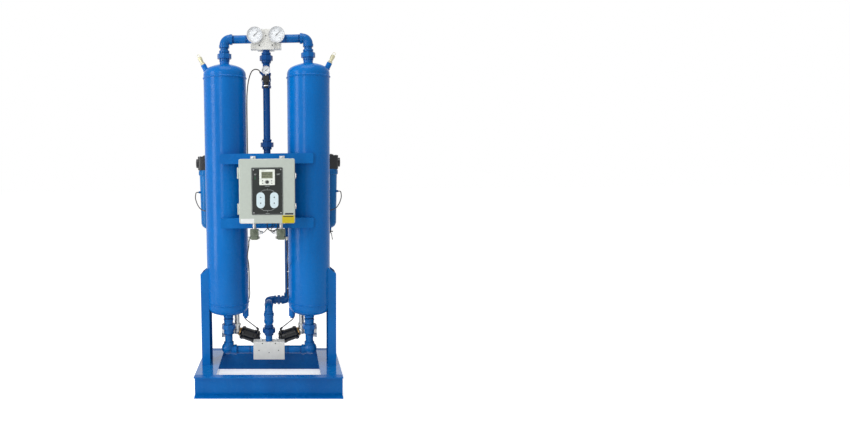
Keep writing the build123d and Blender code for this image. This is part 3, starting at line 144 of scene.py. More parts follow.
def soft_lamp(name, at, aim, width, height, watts):
    """A rectangular lamp at a place, pointing at another."""
    data = bpy.data.lights.new(name, "AREA")
    data.shape = "RECTANGLE"
    data.size = width
    data.size_y = height
    data.energy = watts
    lamp = bpy.data.objects.new(name, data)
    lamp.location = at
    lamp.rotation_euler = (Vector(aim) - Vector(at)).to_track_quat("-Z", "Y").to_euler()
    bpy.context.scene.collection.objects.link(lamp)
    return lamp


soft_lamp("key_left", (-3.1, -1.5, 1.7), (0, 0, 1.1), 1.1, 3.2, 78)
soft_lamp("fill_left", (-1.5, -3.6, 1.9), (0, 0, 1.1), 0.8, 2.6, 30)
soft_lamp("overhead", (0.0, -1.0, 4.4), (0, 0, 1.0), 2.2, 2.2, 58)

# %% [markdown]
# ## A small kit for finishes
# Every finish starts from the Principled shader, whose own sockets hold the numbers that are the same
# all over: roughness, coat, metal. What varies comes from noise read in Object coordinates, which
# are metres in the dryer's own frame, so a scale of 900 gives features about a millimetre across and
# nothing slides when a part turns on its hinge.

# %% Finish helpers


def finish(name, colour, roughness, metallic=0.0, **sockets):
    """A new material with one Principled shader. Other sockets go by name, with _ for a space."""
    material = bpy.data.materials.new(name)
    material.use_nodes = True
    shader = material.node_tree.nodes["Principled BSDF"]
    shader.inputs["Base Color"].default_value = (*colour, 1)
    shader.inputs["Roughness"].default_value = roughness
    shader.inputs["Metallic"].default_value = metallic
    for socket, value in sockets.items():
        shader.inputs[socket.replace("_", " ")].default_value = value
    return material


def object_noise(material, scale, detail=2.0, stretch=(1, 1, 1), kind="ShaderNodeTexNoise"):
    """Noise over the object's own coordinates, finer with a higher scale."""
    tree = material.node_tree
    place = tree.nodes.new("ShaderNodeTexCoord")
    mapping = tree.nodes.new("ShaderNodeMapping")
    mapping.inputs["Scale"].default_value = stretch
    noise = tree.nodes.new(kind)
    noise.inputs["Scale"].default_value = scale
    if "Detail" in noise.inputs:
        noise.inputs["Detail"].default_value = detail
    tree.links.new(place.outputs["Object"], mapping.inputs["Vector"])
    tree.links.new(mapping.outputs["Vector"], noise.inputs["Vector"])
    return noise.outputs["Fac"] if "Fac" in noise.outputs else noise.outputs["Distance"]


def add_bump(material, height, strength, distance=0.0004):
    """Turns a height into relief. A second call lays its relief on the first."""
    tree = material.node_tree
    shader = tree.nodes["Principled BSDF"]
    bump = tree.nodes.new("ShaderNodeBump")
    bump.inputs["Strength"].default_value = strength
    bump.inputs["Distance"].default_value = distance
    tree.links.new(height, bump.inputs["Height"])
    if shader.inputs["Normal"].is_linked:
        tree.links.new(shader.inputs["Normal"].links[0].from_socket, bump.inputs["Normal"])
    tree.links.new(bump.outputs["Normal"], shader.inputs["Normal"])


def vary_colour(material, mask, other, low=0.35, high=0.65):
    """Mixes the shader's colour towards another where the mask runs from low to high."""
    tree = material.node_tree
    shader = tree.nodes["Principled BSDF"]
    spread = tree.nodes.new("ShaderNodeMapRange")
    spread.inputs["From Min"].default_value = low
    spread.inputs["From Max"].default_value = high
    mix = tree.nodes.new("ShaderNodeMix")
    mix.data_type = "RGBA"
    tree.links.new(mask, spread.inputs["Value"])
    tree.links.new(spread.outputs["Result"], mix.inputs["Factor"])
    base = shader.inputs["Base Color"]
    if base.is_linked:
        tree.links.new(base.links[0].from_socket, mix.inputs["A"])
    else:
        mix.inputs["A"].default_value = base.default_value
    mix.inputs["B"].default_value = (*other, 1)
    tree.links.new(mix.outputs["Result"], base)


def vary_roughness(material, mask, smooth, rough, low=0.35, high=0.65):
    """Lets the roughness run between two values with the mask."""
    tree = material.node_tree
    spread = tree.nodes.new("ShaderNodeMapRange")
    spread.inputs["From Min"].default_value = low
    spread.inputs["From Max"].default_value = high
    spread.inputs["To Min"].default_value = smooth
    spread.inputs["To Max"].default_value = rough
    tree.links.new(mask, spread.inputs["Value"])
    tree.links.new(spread.outputs["Result"], tree.nodes["Principled BSDF"].inputs["Roughness"])


def height_band(material, axis, middle, half, soft, mirror=None):
    """A mask that is 1 within half of a place on one axis and fades over soft. A mirror repeats it across."""
    tree = material.node_tree
    place = tree.nodes.new("ShaderNodeTexCoord")
    split = tree.nodes.new("ShaderNodeSeparateXYZ")
    away = tree.nodes.new("ShaderNodeMath")
    away.operation = "SUBTRACT"
    away.inputs[1].default_value = middle
    distance = tree.nodes.new("ShaderNodeMath")
    distance.operation = "ABSOLUTE"
    band = tree.nodes.new("ShaderNodeMapRange")
    band.inputs["From Min"].default_value = half + soft
    band.inputs["From Max"].default_value = half
    tree.links.new(place.outputs["Object"], split.inputs["Vector"])
    along = split.outputs[axis]
    if mirror is not None:
        for operation, value in (("SUBTRACT", mirror), ("ABSOLUTE", 0.0)):
            fold = tree.nodes.new("ShaderNodeMath")
            fold.operation = operation
            fold.inputs[1].default_value = value
            tree.links.new(along, fold.inputs[0])
            along = fold.outputs[0]
    tree.links.new(along, away.inputs[0])
    tree.links.new(away.outputs[0], distance.inputs[0])
    tree.links.new(distance.outputs[0], band.inputs["Value"])
    return band.outputs["Result"]


print("finish helpers ready")

# %% [markdown]
# ## Blue machine enamel
# Towers, pipes, skid and legs wear one coat of glossy blue enamel, sprayed over everything after
# assembly, so even the unions are blue. Three groups get copies of it with painted light in the colour:
# the side rails a lighter blue, a painted reflection on their top faces, and the joints and risers
# darker blues, which are painted shade. Spray enamel is never flat: it has a fine orange peel that
# breaks up reflections, slow drifts of shade where the coat is thicker, and a thin film of dust that
# dulls the gloss in patches. Three noises of very different sizes give those three things.

# %% Blue enamel


def enamel(name, colour, thick, peel=0.10, coat=0.07):
    """Glossy sprayed paint with orange peel, drifting shade and patches of dust."""
    paint = finish(name, colour, 0.24, Specular_IOR_Level=0.10, Coat_Weight=coat, Coat_Roughness=0.06)
    vary_colour(paint, object_noise(paint, 5.0, 3.0, (1, 1, 0.4)), thick, 0.38, 0.66)
    vary_roughness(paint, object_noise(paint, 26.0, 5.0), 0.17, 0.34)
    add_bump(paint, object_noise(paint, 420.0, 1.5), peel, 0.0003)
    add_bump(paint, object_noise(paint, 1500.0, 1.0), peel * 0.5, 0.0001)
    return paint


tower_blue = enamel("tower_enamel", (0.0008, 0.131, 0.435), (0.0006, 0.108, 0.38))
steel_blue = enamel("skid_enamel", (0.0008, 0.130, 0.425), (0.0006, 0.104, 0.36), 0.16)
# A lighter copy of the blue for the side rails: painted reflection of the bright studio on their top faces.
rail_blue_painted_reflection = enamel("rail_enamel_painted_reflection", (0.0020, 0.150, 0.45), (0.0015, 0.125, 0.39), 0.16, 1.0)
# A darker copy of the blue for the header pipes and their fittings: painted shade.
joint_blue_painted_shade = enamel("joint_enamel_painted_shade", (0.0008, 0.112, 0.37), (0.0006, 0.088, 0.30), 0.20, 0.15)
# A much darker copy of the blue for the risers and outlet line: painted shade where they run behind the control box.
pipe_blue_painted_shade = enamel("pipe_enamel_painted_shade", (0.0012, 0.062, 0.235), (0.0009, 0.048, 0.19), 0.22)
bowl_blue = enamel("bowl_enamel", (0.0060, 0.140, 0.40), (0.0045, 0.115, 0.34), 0.14)
for cast in (pipe_blue_painted_shade, joint_blue_painted_shade):
    add_bump(cast, object_noise(cast, 150.0, 4.0), 0.25, 0.0006)
print("enamels", tower_blue.name, steel_blue.name, pipe_blue_painted_shade.name, bowl_blue.name)

# %% [markdown]
# ## Metals
# The valve blocks are milled aluminium, blasted to a pale satin that reads almost ivory against the
# blue. Fine parallel tool marks come from noise squeezed along one axis. Stainless, zinc plate, brass and
# chrome differ in colour, in roughness and in how coarse their grain is, so one helper makes them all.

# %% Metals


def metal(name, colour, roughness, grain, marks=(1, 1, 1), metallic=1.0, relief=0.08, tint=0.86):
    """Bare or plated metal, with grain stretched along its tool marks."""
    made = finish(name, colour, roughness, metallic)
    lines = object_noise(made, grain, 3.0, marks)
    vary_roughness(made, lines, roughness * 0.75, min(1.0, roughness * 1.35))
    vary_colour(made, object_noise(made, 40.0, 4.0), tuple(c * tint for c in colour))
    add_bump(made, lines, relief, 0.0002)
    return made


block_metal = metal("milled_aluminium", (0.68, 0.68, 0.645), 0.45, 900.0, (0.06, 1, 1), 0.15, 0.10, 0.93)
stainless = metal("stainless", (0.60, 0.60, 0.58), 0.26, 700.0, (1, 1, 0.1))
cast_metal = metal("cast_stainless", (0.56, 0.56, 0.54), 0.38, 260.0, relief=0.5)
zinc = metal("zinc_plate", (0.62, 0.63, 0.64), 0.32, 500.0, relief=0.15)
brass = metal("brass", (0.56, 0.53, 0.36), 0.34, 600.0, (1, 1, 0.2), 0.6)
bronze = metal("bronze", (0.50, 0.30, 0.12), 0.34, 500.0)
chrome = metal("chrome", (0.72, 0.72, 0.72), 0.14, 400.0, relief=0.04)
bezel = metal("bezel_steel", (0.62, 0.62, 0.63), 0.22, 800.0, relief=0.05)
print("metals", 8)

# %% [markdown]
# ## Plastics, rubber, glass and what lies inside
# Moulded plastics have a fine spark-eroded grain. The control box is pressed glass-fibre, whose short
# fibres show as faint mottling. The regulator and filter heads are black, one dull and one glossy. Inside
# the towers lie drying beads, which a cell pattern gives, and each filter holds a folded paper element.

# %% Plastics and the rest


def plastic(name, colour, roughness, grain=1400.0, relief=0.12, coat=0.0, mottle=0.88, shine=0.25):
    """Moulded plastic with a fine grain and a slightly uneven shade."""
    made = finish(name, colour, roughness, Specular_IOR_Level=shine, Coat_Weight=coat, Coat_Roughness=0.08)
    vary_colour(made, object_noise(made, 60.0, 5.0), tuple(c * mottle for c in colour))
    vary_roughness(made, object_noise(made, 90.0, 3.0), roughness * 0.85, min(1.0, roughness * 1.15))
    add_bump(made, object_noise(made, grain, 2.0), relief, 0.0002)
    return made


black_dull = plastic("black_plastic", (0.014, 0.015, 0.016), 0.46)
black_glossy = plastic("black_enamel", (0.010, 0.011, 0.013), 0.20, 700.0, 0.14, 0.22)
fibreglass = plastic("grey_fibreglass", (0.435, 0.480, 0.432), 0.40, 240.0, 0.25, 0.10, 0.955)
vary_colour(fibreglass, object_noise(fibreglass, 900.0, 2.0, (1, 1, 0.25)), (0.47, 0.51, 0.462), 0.55, 0.75)
panel_film = plastic("panel_film", (0.021, 0.025, 0.023), 0.42, 2600.0, 0.10)
cream = plastic("controller_cream", (0.76, 0.80, 0.735), 0.45, 1200.0, 0.10)
key_rubber = plastic("key_rubber", (0.055, 0.058, 0.055), 0.62, 1000.0, 0.2)
seal_foam = plastic("seal_foam", (0.03, 0.03, 0.032), 0.85, 900.0, 0.8)
coil_olive = plastic("coil_olive", (0.115, 0.138, 0.098), 0.36, 900.0, 0.25, 0.3)
tube_black = plastic("tube_nylon", (0.026, 0.020, 0.017), 0.30, 500.0, 0.05, 0.15)
cable_black = plastic("cable_rubber", (0.010, 0.010, 0.010), 0.5, 700.0, 0.10)
paper_fold = plastic("filter_paper", (0.80, 0.77, 0.68), 0.9, 1200.0, 0.4)
pleats = object_noise(paper_fold, 1.0, 0.0, (260, 260, 1))
add_bump(paper_fold, pleats, 0.9, 0.004)

beads_and_gap_shade = finish("drying_beads_and_gap_shade", (0.82, 0.80, 0.74), 0.7)
bead_cells_and_gap_shade = object_noise(beads_and_gap_shade, 210.0, kind="ShaderNodeTexVoronoi")
add_bump(beads_and_gap_shade, bead_cells_and_gap_shade, 1.0, 0.004)
# Where the cells meet the colour darkens: painted shade in the gaps between the beads.
vary_colour(beads_and_gap_shade, bead_cells_and_gap_shade, (0.5, 0.46, 0.4), 0.45, 0.8)

window_glass = finish("gauge_glass", (1, 1, 1), 0.03, Alpha=0.10, Specular_IOR_Level=0.6)
vary_roughness(window_glass, object_noise(window_glass, 80.0, 2.0), 0.02, 0.06)

valve_metal = metal("valve_metal", (0.42, 0.42, 0.42), 0.34, 500.0, relief=0.2)
upright = height_band(valve_metal, "Z", 0.954, 0.0305, 0.0006)
beside = height_band(valve_metal, "X", 0.076, 0.0262, 0.0006, 0.005)
both = valve_metal.node_tree.nodes.new("ShaderNodeMath")
both.operation = "MULTIPLY"
valve_metal.node_tree.links.new(upright, both.inputs[0])
valve_metal.node_tree.links.new(beside, both.inputs[1])
vary_colour(valve_metal, both.outputs[0], (0.115, 0.138, 0.098), 0.0, 1.0)
bare = valve_metal.node_tree.nodes.new("ShaderNodeMath")
bare.operation = "SUBTRACT"
bare.inputs[0].default_value = 1.0
valve_metal.node_tree.links.new(both.outputs[0], bare.inputs[1])
valve_metal.node_tree.links.new(bare.outputs[0], valve_metal.node_tree.nodes["Principled BSDF"].inputs["Metallic"])
print("plastics and fillings ready")

# %% [markdown]
# ## Dressing the solid parts
# Each solid keeps its shape and gets one of the finishes above. A plain table from finish to part names
# is easier to read than sixty assignments, and it shows at once if a part was forgotten.

# %% Finishes onto parts
DRESS = {
    tower_blue: ["tower_left", "tower_right"],
    steel_blue: ["skid_rail_front", "skid_rail_rear", "leg_left", "leg_right", "brackets", "drain_plugs"],
    rail_blue_painted_reflection: ["skid_rail_left", "skid_rail_right"],
    joint_blue_painted_shade: ["header_nipples", "header_unions", "header_pipes", "header_elbows", "inlet_line"],
    pipe_blue_painted_shade: ["riser_pipes", "line_unions", "riser_tee", "outlet_line"],
    bowl_blue: ["filter_bowls"],
    block_metal: ["inlet_block", "outlet_block"],
    stainless: ["inlet_shuttle", "outlet_shuttle", "bed_screens", "hinge_pins", "latch_pins"],
    cast_metal: ["exhaust_valves"],
    zinc: ["mounting_feet", "mufflers"],
    brass: ["relief_valves", "relief_stem_left", "relief_stem_right"],
    chrome: ["latch_upper", "latch_lower"],
    bezel: ["gauge_case_left", "gauge_case_right", "gauge_case_small"],
    black_dull: ["pilot_regulator", "regulator_knob", "gauge_pointer_left", "gauge_pointer_right",
                 "gauge_pointer_small"],
    black_glossy: ["filter_heads", "exhaust_actuators"],
    fibreglass: ["enclosure_body", "enclosure_door"],
    panel_film: ["door_panel"],
    cream: ["controller"],
    key_rubber: ["controller_rocker", "controller_key_1", "controller_key_2", "controller_key_3",
                 "controller_key_4"],
    seal_foam: ["door_seal"],
    valve_metal: ["solenoid_valves"],
    tube_black: ["air_tubes"],
    paper_fold: ["filter_elements"],
    beads_and_gap_shade: ["desiccant_beds"],
    window_glass: ["gauge_lenses"],
}
for material, names in DRESS.items():
    for name in names:
        mesh = nodes[name].data
        mesh.materials.clear()
        mesh.materials.append(material)
undressed = set(nodes) - {name for names in DRESS.values() for name in names}
print("dressed all but", sorted(undressed))

# %% [markdown]
# ## A kit for small pieces
# The pieces that follow are turned, bent, cut and printed parts, and four operators make nearly all of
# them. A turned part is an outline swung round an axis, a plate is a cube with bevelled edges, a bar
# is a cone with equal ends, and a seam is a small circle swung round a big one. Each helper builds its shape
# round the origin, then lays it in its place, so that the object itself can stay at the origin.

# %% Places and directions
AXES_Y = 0.0295
FRONT, REAR = Vector((0, -1, 0)), Vector((0, 1, 0))
UP, DOWN = Vector((0, 0, 1)), Vector((0, 0, -1))
LEFT, RIGHT = Vector((-1, 0, 0)), Vector((1, 0, 0))


def spot(x, y, z):
    """A place given in millimetres from the plane of the tower axes, in metres in the dryer's frame."""
    return Vector((x / 1000, y / 1000 + AXES_Y, z / 1000))


def facing(place, direction):
    """The matrix that lays a shape drawn round +Z at a place, with its +Z along a direction."""
    turn = Vector(direction).to_track_quat("Z", "Y").to_matrix().to_4x4()
    return Matrix.Translation(place) @ turn


# %% Shapes made with bmesh operators


def turned(bm, profile, place, direction=UP, steps=40):
    """Swings an outline of (radius, height) pairs, in millimetres, round an axis."""
    start = [bm.verts.new((r / 1000, 0, h / 1000)) for r, h in profile]
    edges = [bm.edges.new(pair) for pair in zip(start, start[1:])]
    made = bmesh.ops.spin(bm, geom=start + edges, cent=(0, 0, 0), axis=(0, 0, 1), angle=math.tau,
                          steps=steps, use_merge=True, use_duplicate=False)
    verts = list({v for v in start if v.is_valid} | {g for g in made["geom_last"]
                                                    if isinstance(g, bmesh.types.BMVert) and g.is_valid})
    grown, edge_of = set(verts), list(verts)
    while edge_of:
        for edge in edge_of.pop().link_edges:
            for vert in edge.verts:
                if vert not in grown:
                    grown.add(vert)
                    edge_of.append(vert)
    grown = list(grown)
    bmesh.ops.remove_doubles(bm, verts=grown, dist=1e-6)
    grown = [v for v in grown if v.is_valid]
    faces = list({f for v in grown for f in v.link_faces})
    bmesh.ops.recalc_face_normals(bm, faces=faces)
    bmesh.ops.transform(bm, matrix=facing(place, direction), verts=grown)
    return grown


def plate(bm, size, place, edge=0.5, segments=2, turn=None):
    """A slab with rounded edges, its size in millimetres, centred on a place."""
    made = bmesh.ops.create_cube(bm, size=1.0)["verts"]
    bmesh.ops.scale(bm, vec=Vector(size) / 1000, verts=made)
    edges = list({e for v in made for e in v.link_edges})
    done = bmesh.ops.bevel(bm, geom=edges, offset=edge / 1000, affect="EDGES", segments=segments,
                           profile=0.5, material=-1)
    verts = list({v for f in done["faces"] for v in f.verts} | {v for v in made if v.is_valid})
    bmesh.ops.transform(bm, matrix=Matrix.Translation(place) @ (turn or Matrix.Identity(4)), verts=verts)
    return verts


def bar(bm, radius, length, place, direction, sides=24, edge=0.0, top=None):
    """A round or many-sided bar from a place along a direction, in millimetres."""
    made = bmesh.ops.create_cone(bm, cap_ends=True, segments=sides, radius1=radius / 1000,
                                 radius2=(radius if top is None else top) / 1000, depth=length / 1000)["verts"]
    if edge:
        rims = [e for e in {e for v in made for e in v.link_edges} if abs(e.verts[0].co.z - e.verts[1].co.z) < 1e-9]
        done = bmesh.ops.bevel(bm, geom=rims, offset=edge / 1000, affect="EDGES", segments=2, profile=0.5,
                               material=-1)
        made = list({v for f in done["faces"] for v in f.verts} | {v for v in made if v.is_valid})
    lift = Matrix.Translation((0, 0, length / 2000))
    bmesh.ops.transform(bm, matrix=facing(place, direction) @ lift, verts=made)
    return made


def ring(bm, big, small, place, direction, steps=40, sides=10, ripple=0.0):
    """A ring of round section. With a ripple it swells and shrinks along its length, as a weld does."""
    centre = Matrix.Translation((big / 1000, 0, 0)) @ Matrix.Rotation(math.pi / 2, 4, "X")
    start = bmesh.ops.create_circle(bm, segments=sides, radius=small / 1000, matrix=centre)["verts"]
    edges = list({e for v in start for e in v.link_edges})
    before = set(bm.verts) - set(start)
    bmesh.ops.spin(bm, geom=start + edges, cent=(0, 0, 0), axis=(0, 0, 1), angle=math.tau, steps=steps,
                   use_merge=True, use_duplicate=False)
    verts = [v for v in bm.verts if v not in before]
    for vert in verts if ripple else []:
        angle = math.atan2(vert.co.y, vert.co.x)
        middle = Vector((math.cos(angle), math.sin(angle), 0)) * big / 1000
        vert.co = middle + (vert.co - middle) * (1 + ripple * math.cos(angle * steps / 3))
    bmesh.ops.recalc_face_normals(bm, faces=list({f for v in verts for f in v.link_faces}))
    bmesh.ops.transform(bm, matrix=facing(place, direction), verts=verts)
    return verts


def seam(bm, start, end, radius, pitch=2.6):
    """A straight weld bead: a small bar whose rings swell and shrink once per stitch."""
    length = (end - start).length * 1000
    rings = max(4, int(length / pitch) * 2)
    made = bmesh.ops.create_circle(bm, segments=8, radius=radius / 1000, cap_ends=True)["verts"]
    face = list({f for v in made for f in v.link_faces})
    verts, last = list(made), list(made)
    for number in range(rings):
        grown = bmesh.ops.extrude_face_region(bm, geom=face)
        last = [g for g in grown["geom"] if isinstance(g, bmesh.types.BMVert)]
        bmesh.ops.delete(bm, geom=face, context="FACES_ONLY")
        face = [g for g in grown["geom"] if isinstance(g, bmesh.types.BMFace)]
        bmesh.ops.translate(bm, vec=(0, 0, length / rings / 1000), verts=last)
        middle = Matrix.Translation((0, 0, -length / 1000 * (number + 1) / rings))
        size = 1.16 if number % 2 else 1 / 1.16
        bmesh.ops.scale(bm, vec=(size, size, 1), space=middle, verts=last)
        verts += last
    bmesh.ops.holes_fill(bm, edges=list({e for v in made for e in v.link_edges if e.is_boundary}))
    bmesh.ops.recalc_face_normals(bm, faces=list({f for v in verts for f in v.link_faces}))
    bmesh.ops.transform(bm, matrix=facing(start, end - start), verts=verts)
    return verts


def piece(name, bm, material, body="frame", smooth=40):
    """Makes the finished mesh an object that rides on a body and takes its finish from a slot."""
    mesh = bpy.data.meshes.new(name)
    bm.to_mesh(mesh)
    bm.free()
    made = bpy.data.objects.new(name, mesh)
    bpy.context.scene.collection.objects.link(made)
    mesh.materials.append(material)
    mesh.shade_smooth()
    mesh.set_sharp_from_angle(angle=math.radians(smooth))
    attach(made, body)
    print(name, len(mesh.polygons), "faces on", body)
    return made


# %% [markdown]
# ## Printed finishes
# Dials, labels and the panel's artwork are thin films in plain colours. Real print has a slightly uneven
# ink, so even these get a faint noise, never one flat colour.

# %% Inks and films
dial_white = plastic("dial_white", (0.70, 0.73, 0.76), 0.5, 2000.0, 0.03, mottle=0.97)
ink_black = plastic("ink_black", (0.02, 0.02, 0.02), 0.55, 2000.0, 0.03)
ink_red = plastic("ink_red", (0.55, 0.03, 0.02), 0.5, 2000.0, 0.03)
ink_pale = plastic("ink_pale", (0.46, 0.50, 0.49), 0.5, 2000.0, 0.03)
film_ice = plastic("film_ice", (0.58, 0.70, 0.735), 0.38, 2400.0, 0.05, mottle=0.97)
lcd_olive = plastic("lcd_olive", (0.185, 0.205, 0.135), 0.18, 2400.0, 0.02, 0.4)
lcd_ink = plastic("lcd_ink", (0.055, 0.065, 0.04), 0.3, 2400.0, 0.02)
lamp_green = plastic("lamp_green", (0.02, 0.16, 0.07), 0.2, 900.0, 0.05, 0.6)
label_white = plastic("label_white", (0.68, 0.70, 0.69), 0.45, 1800.0, 0.05, mottle=0.96)
label_yellow = plastic("label_yellow", (0.50, 0.40, 0.015), 0.42, 1800.0, 0.05, mottle=0.94)
print("inks and films ready")

# %% [markdown]
# ## Gauge dials
# Each gauge shows a white dial behind its window, with a scale over three quarters of a turn. The scale
# is print, so its marks are film-thin plates, turned into place round the spindle. The dial has a hole for
# the pointer's spindle, because the pointer itself is a moving solid part.

# %% Gauge dials


def number_mesh(text, size, place):
    """A printed number, facing front, as a flat mesh."""
    data = bpy.data.curves.new("number", "FONT")
    data.body = text
    data.size = size / 1000
    data.align_x, data.align_y = "CENTER", "CENTER"
    holder = bpy.data.objects.new("number", data)
    mesh = bpy.data.meshes.new_from_object(holder)
    mesh.transform(Matrix.Translation(place) @ Matrix.Rotation(math.pi / 2, 4, "X"))
    bpy.data.objects.remove(holder)
    bpy.data.curves.remove(data)
    return mesh


def scale_angle(share):
    """The angle of a share of the scale, which starts at lower left and runs clockwise."""
    return math.radians(225 - 270 * share)


def dial(name, x, z, front, radius, numbers):
    """The dial with its printed marks and numbers, for a gauge whose rim is at front."""
    depth = front + 7.4
    face = bmesh.new()
    turned(face, [(2.0, 0), (radius, 0), (radius, 0.4), (2.0, 0.4), (2.0, 0)], spot(x, depth, z), FRONT, 64)
    turned(face, [(radius - 1.6, 0.4), (radius, 0.4), (radius, 3.2), (radius - 0.8, 3.2), (radius - 1.6, 0.4)],
           spot(x, depth, z), FRONT, 64)
    piece(name + "_face", face, dial_white)
    marks = bmesh.new()
    ticks = 10 * (5 if radius > 30 else 2)
    for number in range(ticks + 1):
        angle = scale_angle(number / ticks)
        major = number % (ticks // 10) == 0
        length = radius * (0.13 if major else 0.07)
        wide = radius * (0.026 if major else 0.012)
        reach = radius * 0.87 - length / 2
        place = spot(x + reach * math.cos(angle), depth - 0.5, z + reach * math.sin(angle))
        plate(marks, (length, 0.2, wide), place, 0.05, 1, Matrix.Rotation(-angle, 4, "Y"))
    turned(marks, [(radius * 0.885, 0.45), (radius * 0.90, 0.45), (radius * 0.90, 0.6), (radius * 0.885, 0.6),
                   (radius * 0.885, 0.45)], spot(x, depth, z), FRONT, 64)
    for number, value in enumerate(numbers):
        angle = scale_angle(number / (len(numbers) - 1))
        reach = radius * 0.60
        place = spot(x + reach * math.cos(angle), depth - 0.55, z + reach * math.sin(angle))
        mesh = number_mesh(value, radius * 0.17, place)
        marks.from_mesh(mesh)
        bpy.data.meshes.remove(mesh)
    piece(name + "_print", marks, ink_black)


for name, x in (("left_dial", -64), ("right_dial", 64)):
    dial(name, x, 2104, -78, 43.2, ["0", "40", "80", "120", "160", "200"])
dial("small_dial", 0, 1899, -86, 21.3, ["0", "50", "100", "150"])
print("gauges done")

# %% [markdown]
# ## Screws, plugs and nuts on the valve blocks
# Both blocks are held by socket-head screws sunk in their front faces. A socket head is a ring whose
# outside is round and whose inside has six sides, so a circle and a hexagon with equally many corners are
# bridged, and the hexagon is pushed in for the socket.

# %% Socket screws


def socket_screw(bm, radius, place, direction, depth=3.0):
    """A round screw head with a six-sided socket."""
    outer = bmesh.ops.create_circle(bm, segments=24, radius=radius / 1000)["verts"]
    rim = list({e for v in outer for e in v.link_edges})
    inner = bmesh.ops.create_circle(bm, segments=24, radius=radius * 0.5 / 1000)["verts"]
    well = list({e for v in inner for e in v.link_edges})
    for vert in inner:
        off_flat = math.atan2(vert.co.y, vert.co.x) % (math.pi / 3) - math.pi / 6
        vert.co *= math.cos(math.pi / 6) / math.cos(off_flat)
    bmesh.ops.bridge_loops(bm, edges=rim + well)
    walls = list(outer) + list(inner)
    for loop, drop in ((rim, -depth), (well, -depth * 0.6)):
        sunk = bmesh.ops.extrude_edge_only(bm, edges=loop)
        low = [g for g in sunk["geom"] if isinstance(g, bmesh.types.BMVert)]
        bmesh.ops.translate(bm, vec=(0, 0, drop / 1000), verts=low)
        bottom = [g for g in sunk["geom"] if isinstance(g, bmesh.types.BMEdge) and g.is_boundary]
        bmesh.ops.holes_fill(bm, edges=bottom)
        walls += low
    bmesh.ops.recalc_face_normals(bm, faces=list({f for v in walls for f in v.link_faces}))
    bmesh.ops.transform(bm, matrix=facing(place, direction), verts=walls)


screws = bmesh.new()
for x in (-40, 40):
    socket_screw(screws, 3.9, spot(x, -29.5, 253), FRONT)
for x, z in ((-39, 2052), (39, 2052), (0, 2108)):
    socket_screw(screws, 4.2 if z < 2100 else 2.6, spot(x, -32.6, z), FRONT, 0.8)
for x, z in ((-62, 210), (58, 210), (0, 196)):
    socket_screw(screws, 3.4, spot(x, -32.5, z), FRONT, 0.6)
piece("block_screws", screws, key_rubber)

# %% Plugs and shoulder nuts on the blocks
plugs = bmesh.new()
for x in (-46, 46):
    bar(plugs, 8.5, 7, spot(x, 4, 262), UP, 6, 0.6)
    turned(plugs, [(0, 12), (4.2, 12), (5, 11.2), (5, 6.5), (0, 6.5)], spot(x, 4, 262), UP, 24)
for x in (-70, 70):
    bar(plugs, 6.5, 5, spot(x, 0, 2128), UP, 6, 0.5)
piece("block_plugs", plugs, zinc)

# %% [markdown]
# ## The door's panel
# The panel is a black printed film. A liquid-crystal display sits in the controller's window, and two pale
# ovals each hold two signal lamps, one pair for each tower, joined by thin lines that stand for the pipes. Printing
# is only a few hundredths of a millimetre thick, so flat plates just proud of the film give it.

# %% Display in the controller's window
display = bmesh.new()
plate(display, (60.5, 1.2, 35.5), spot(7, -320.9, 1291), 0.3, 1)
piece("display_glass", display, lcd_olive, "door")
segments = bmesh.new()
for x, z, wide in ((-14, 1302, 12), (3, 1302, 16), (26, 1302, 12), (-8, 1294, 24), (19, 1294, 18), (-11, 1284, 18),
                   (9, 1284, 14), (26, 1284, 10)):
    for step in range(int(wide / 3)):
        tall = 4.6 if (step * 7 + int(x)) % 3 else 3.2
        plate(segments, (1.9, 0.2, tall), spot(x - wide / 2 + 1.5 + step * 3, -321.55, z), 0.05, 1)
piece("display_segments", segments, lcd_ink, "door")

# %% Printing on the controller
marks = bmesh.new()
for x in (-18, -8, 22, 32):
    plate(marks, (6.5, 0.2, 1.3), spot(x + 1.5, -323.1, 1263.5), 0.05, 1)
plate(marks, (22, 0.2, 1.6), spot(-12, -323.1, 1317.0), 0.05, 1)
piece("controller_print", marks, ink_pale, "door")
arrows = bmesh.new()
for x, z, turn in ((7, 1260.2, 0), (7, 1245.8, 180), (-0.2, 1253, -90), (14.2, 1253, 90)):
    place = Matrix.Translation(spot(x, -323.9, z)) @ Matrix.Rotation(math.radians(turn), 4, "Y")
    made = bmesh.ops.create_cone(arrows, cap_ends=True, segments=3, radius1=0.0017, radius2=0.0017, depth=0.0003)
    upright = Matrix.Rotation(math.pi / 2, 4, "X") @ Matrix.Rotation(math.pi / 2, 4, "Z")
    bmesh.ops.transform(arrows, matrix=place @ upright, verts=made["verts"])
piece("rocker_arrows", arrows, label_white, "rocker")


# %% Ovals with their signal lamps
def oval(bm, x, low, high, width, front, thick):
    """A flat slab whose ends are half circles: a disc pulled apart at its middle, then thickened."""
    half_turn = Matrix.Rotation(math.pi / 48, 4, "Z")
    disc = bmesh.ops.create_circle(bm, cap_ends=True, segments=48, radius=width / 2000, matrix=half_turn)["verts"]
    stretch = (high - low - width) / 2000
    for vert in disc:
        vert.co.y += math.copysign(stretch, vert.co.y)
    face = list({f for v in disc for f in v.link_faces})
    raised = bmesh.ops.extrude_face_region(bm, geom=face)["geom"]
    top = [g for g in raised if isinstance(g, bmesh.types.BMVert)]
    bmesh.ops.translate(bm, vec=(0, 0, thick / 1000), verts=top)
    slab = list(disc) + top
    bmesh.ops.recalc_face_normals(bm, faces=list({f for v in slab for f in v.link_faces}))
    bmesh.ops.transform(bm, matrix=facing(spot(x, front, (low + high) / 2), FRONT), verts=slab)


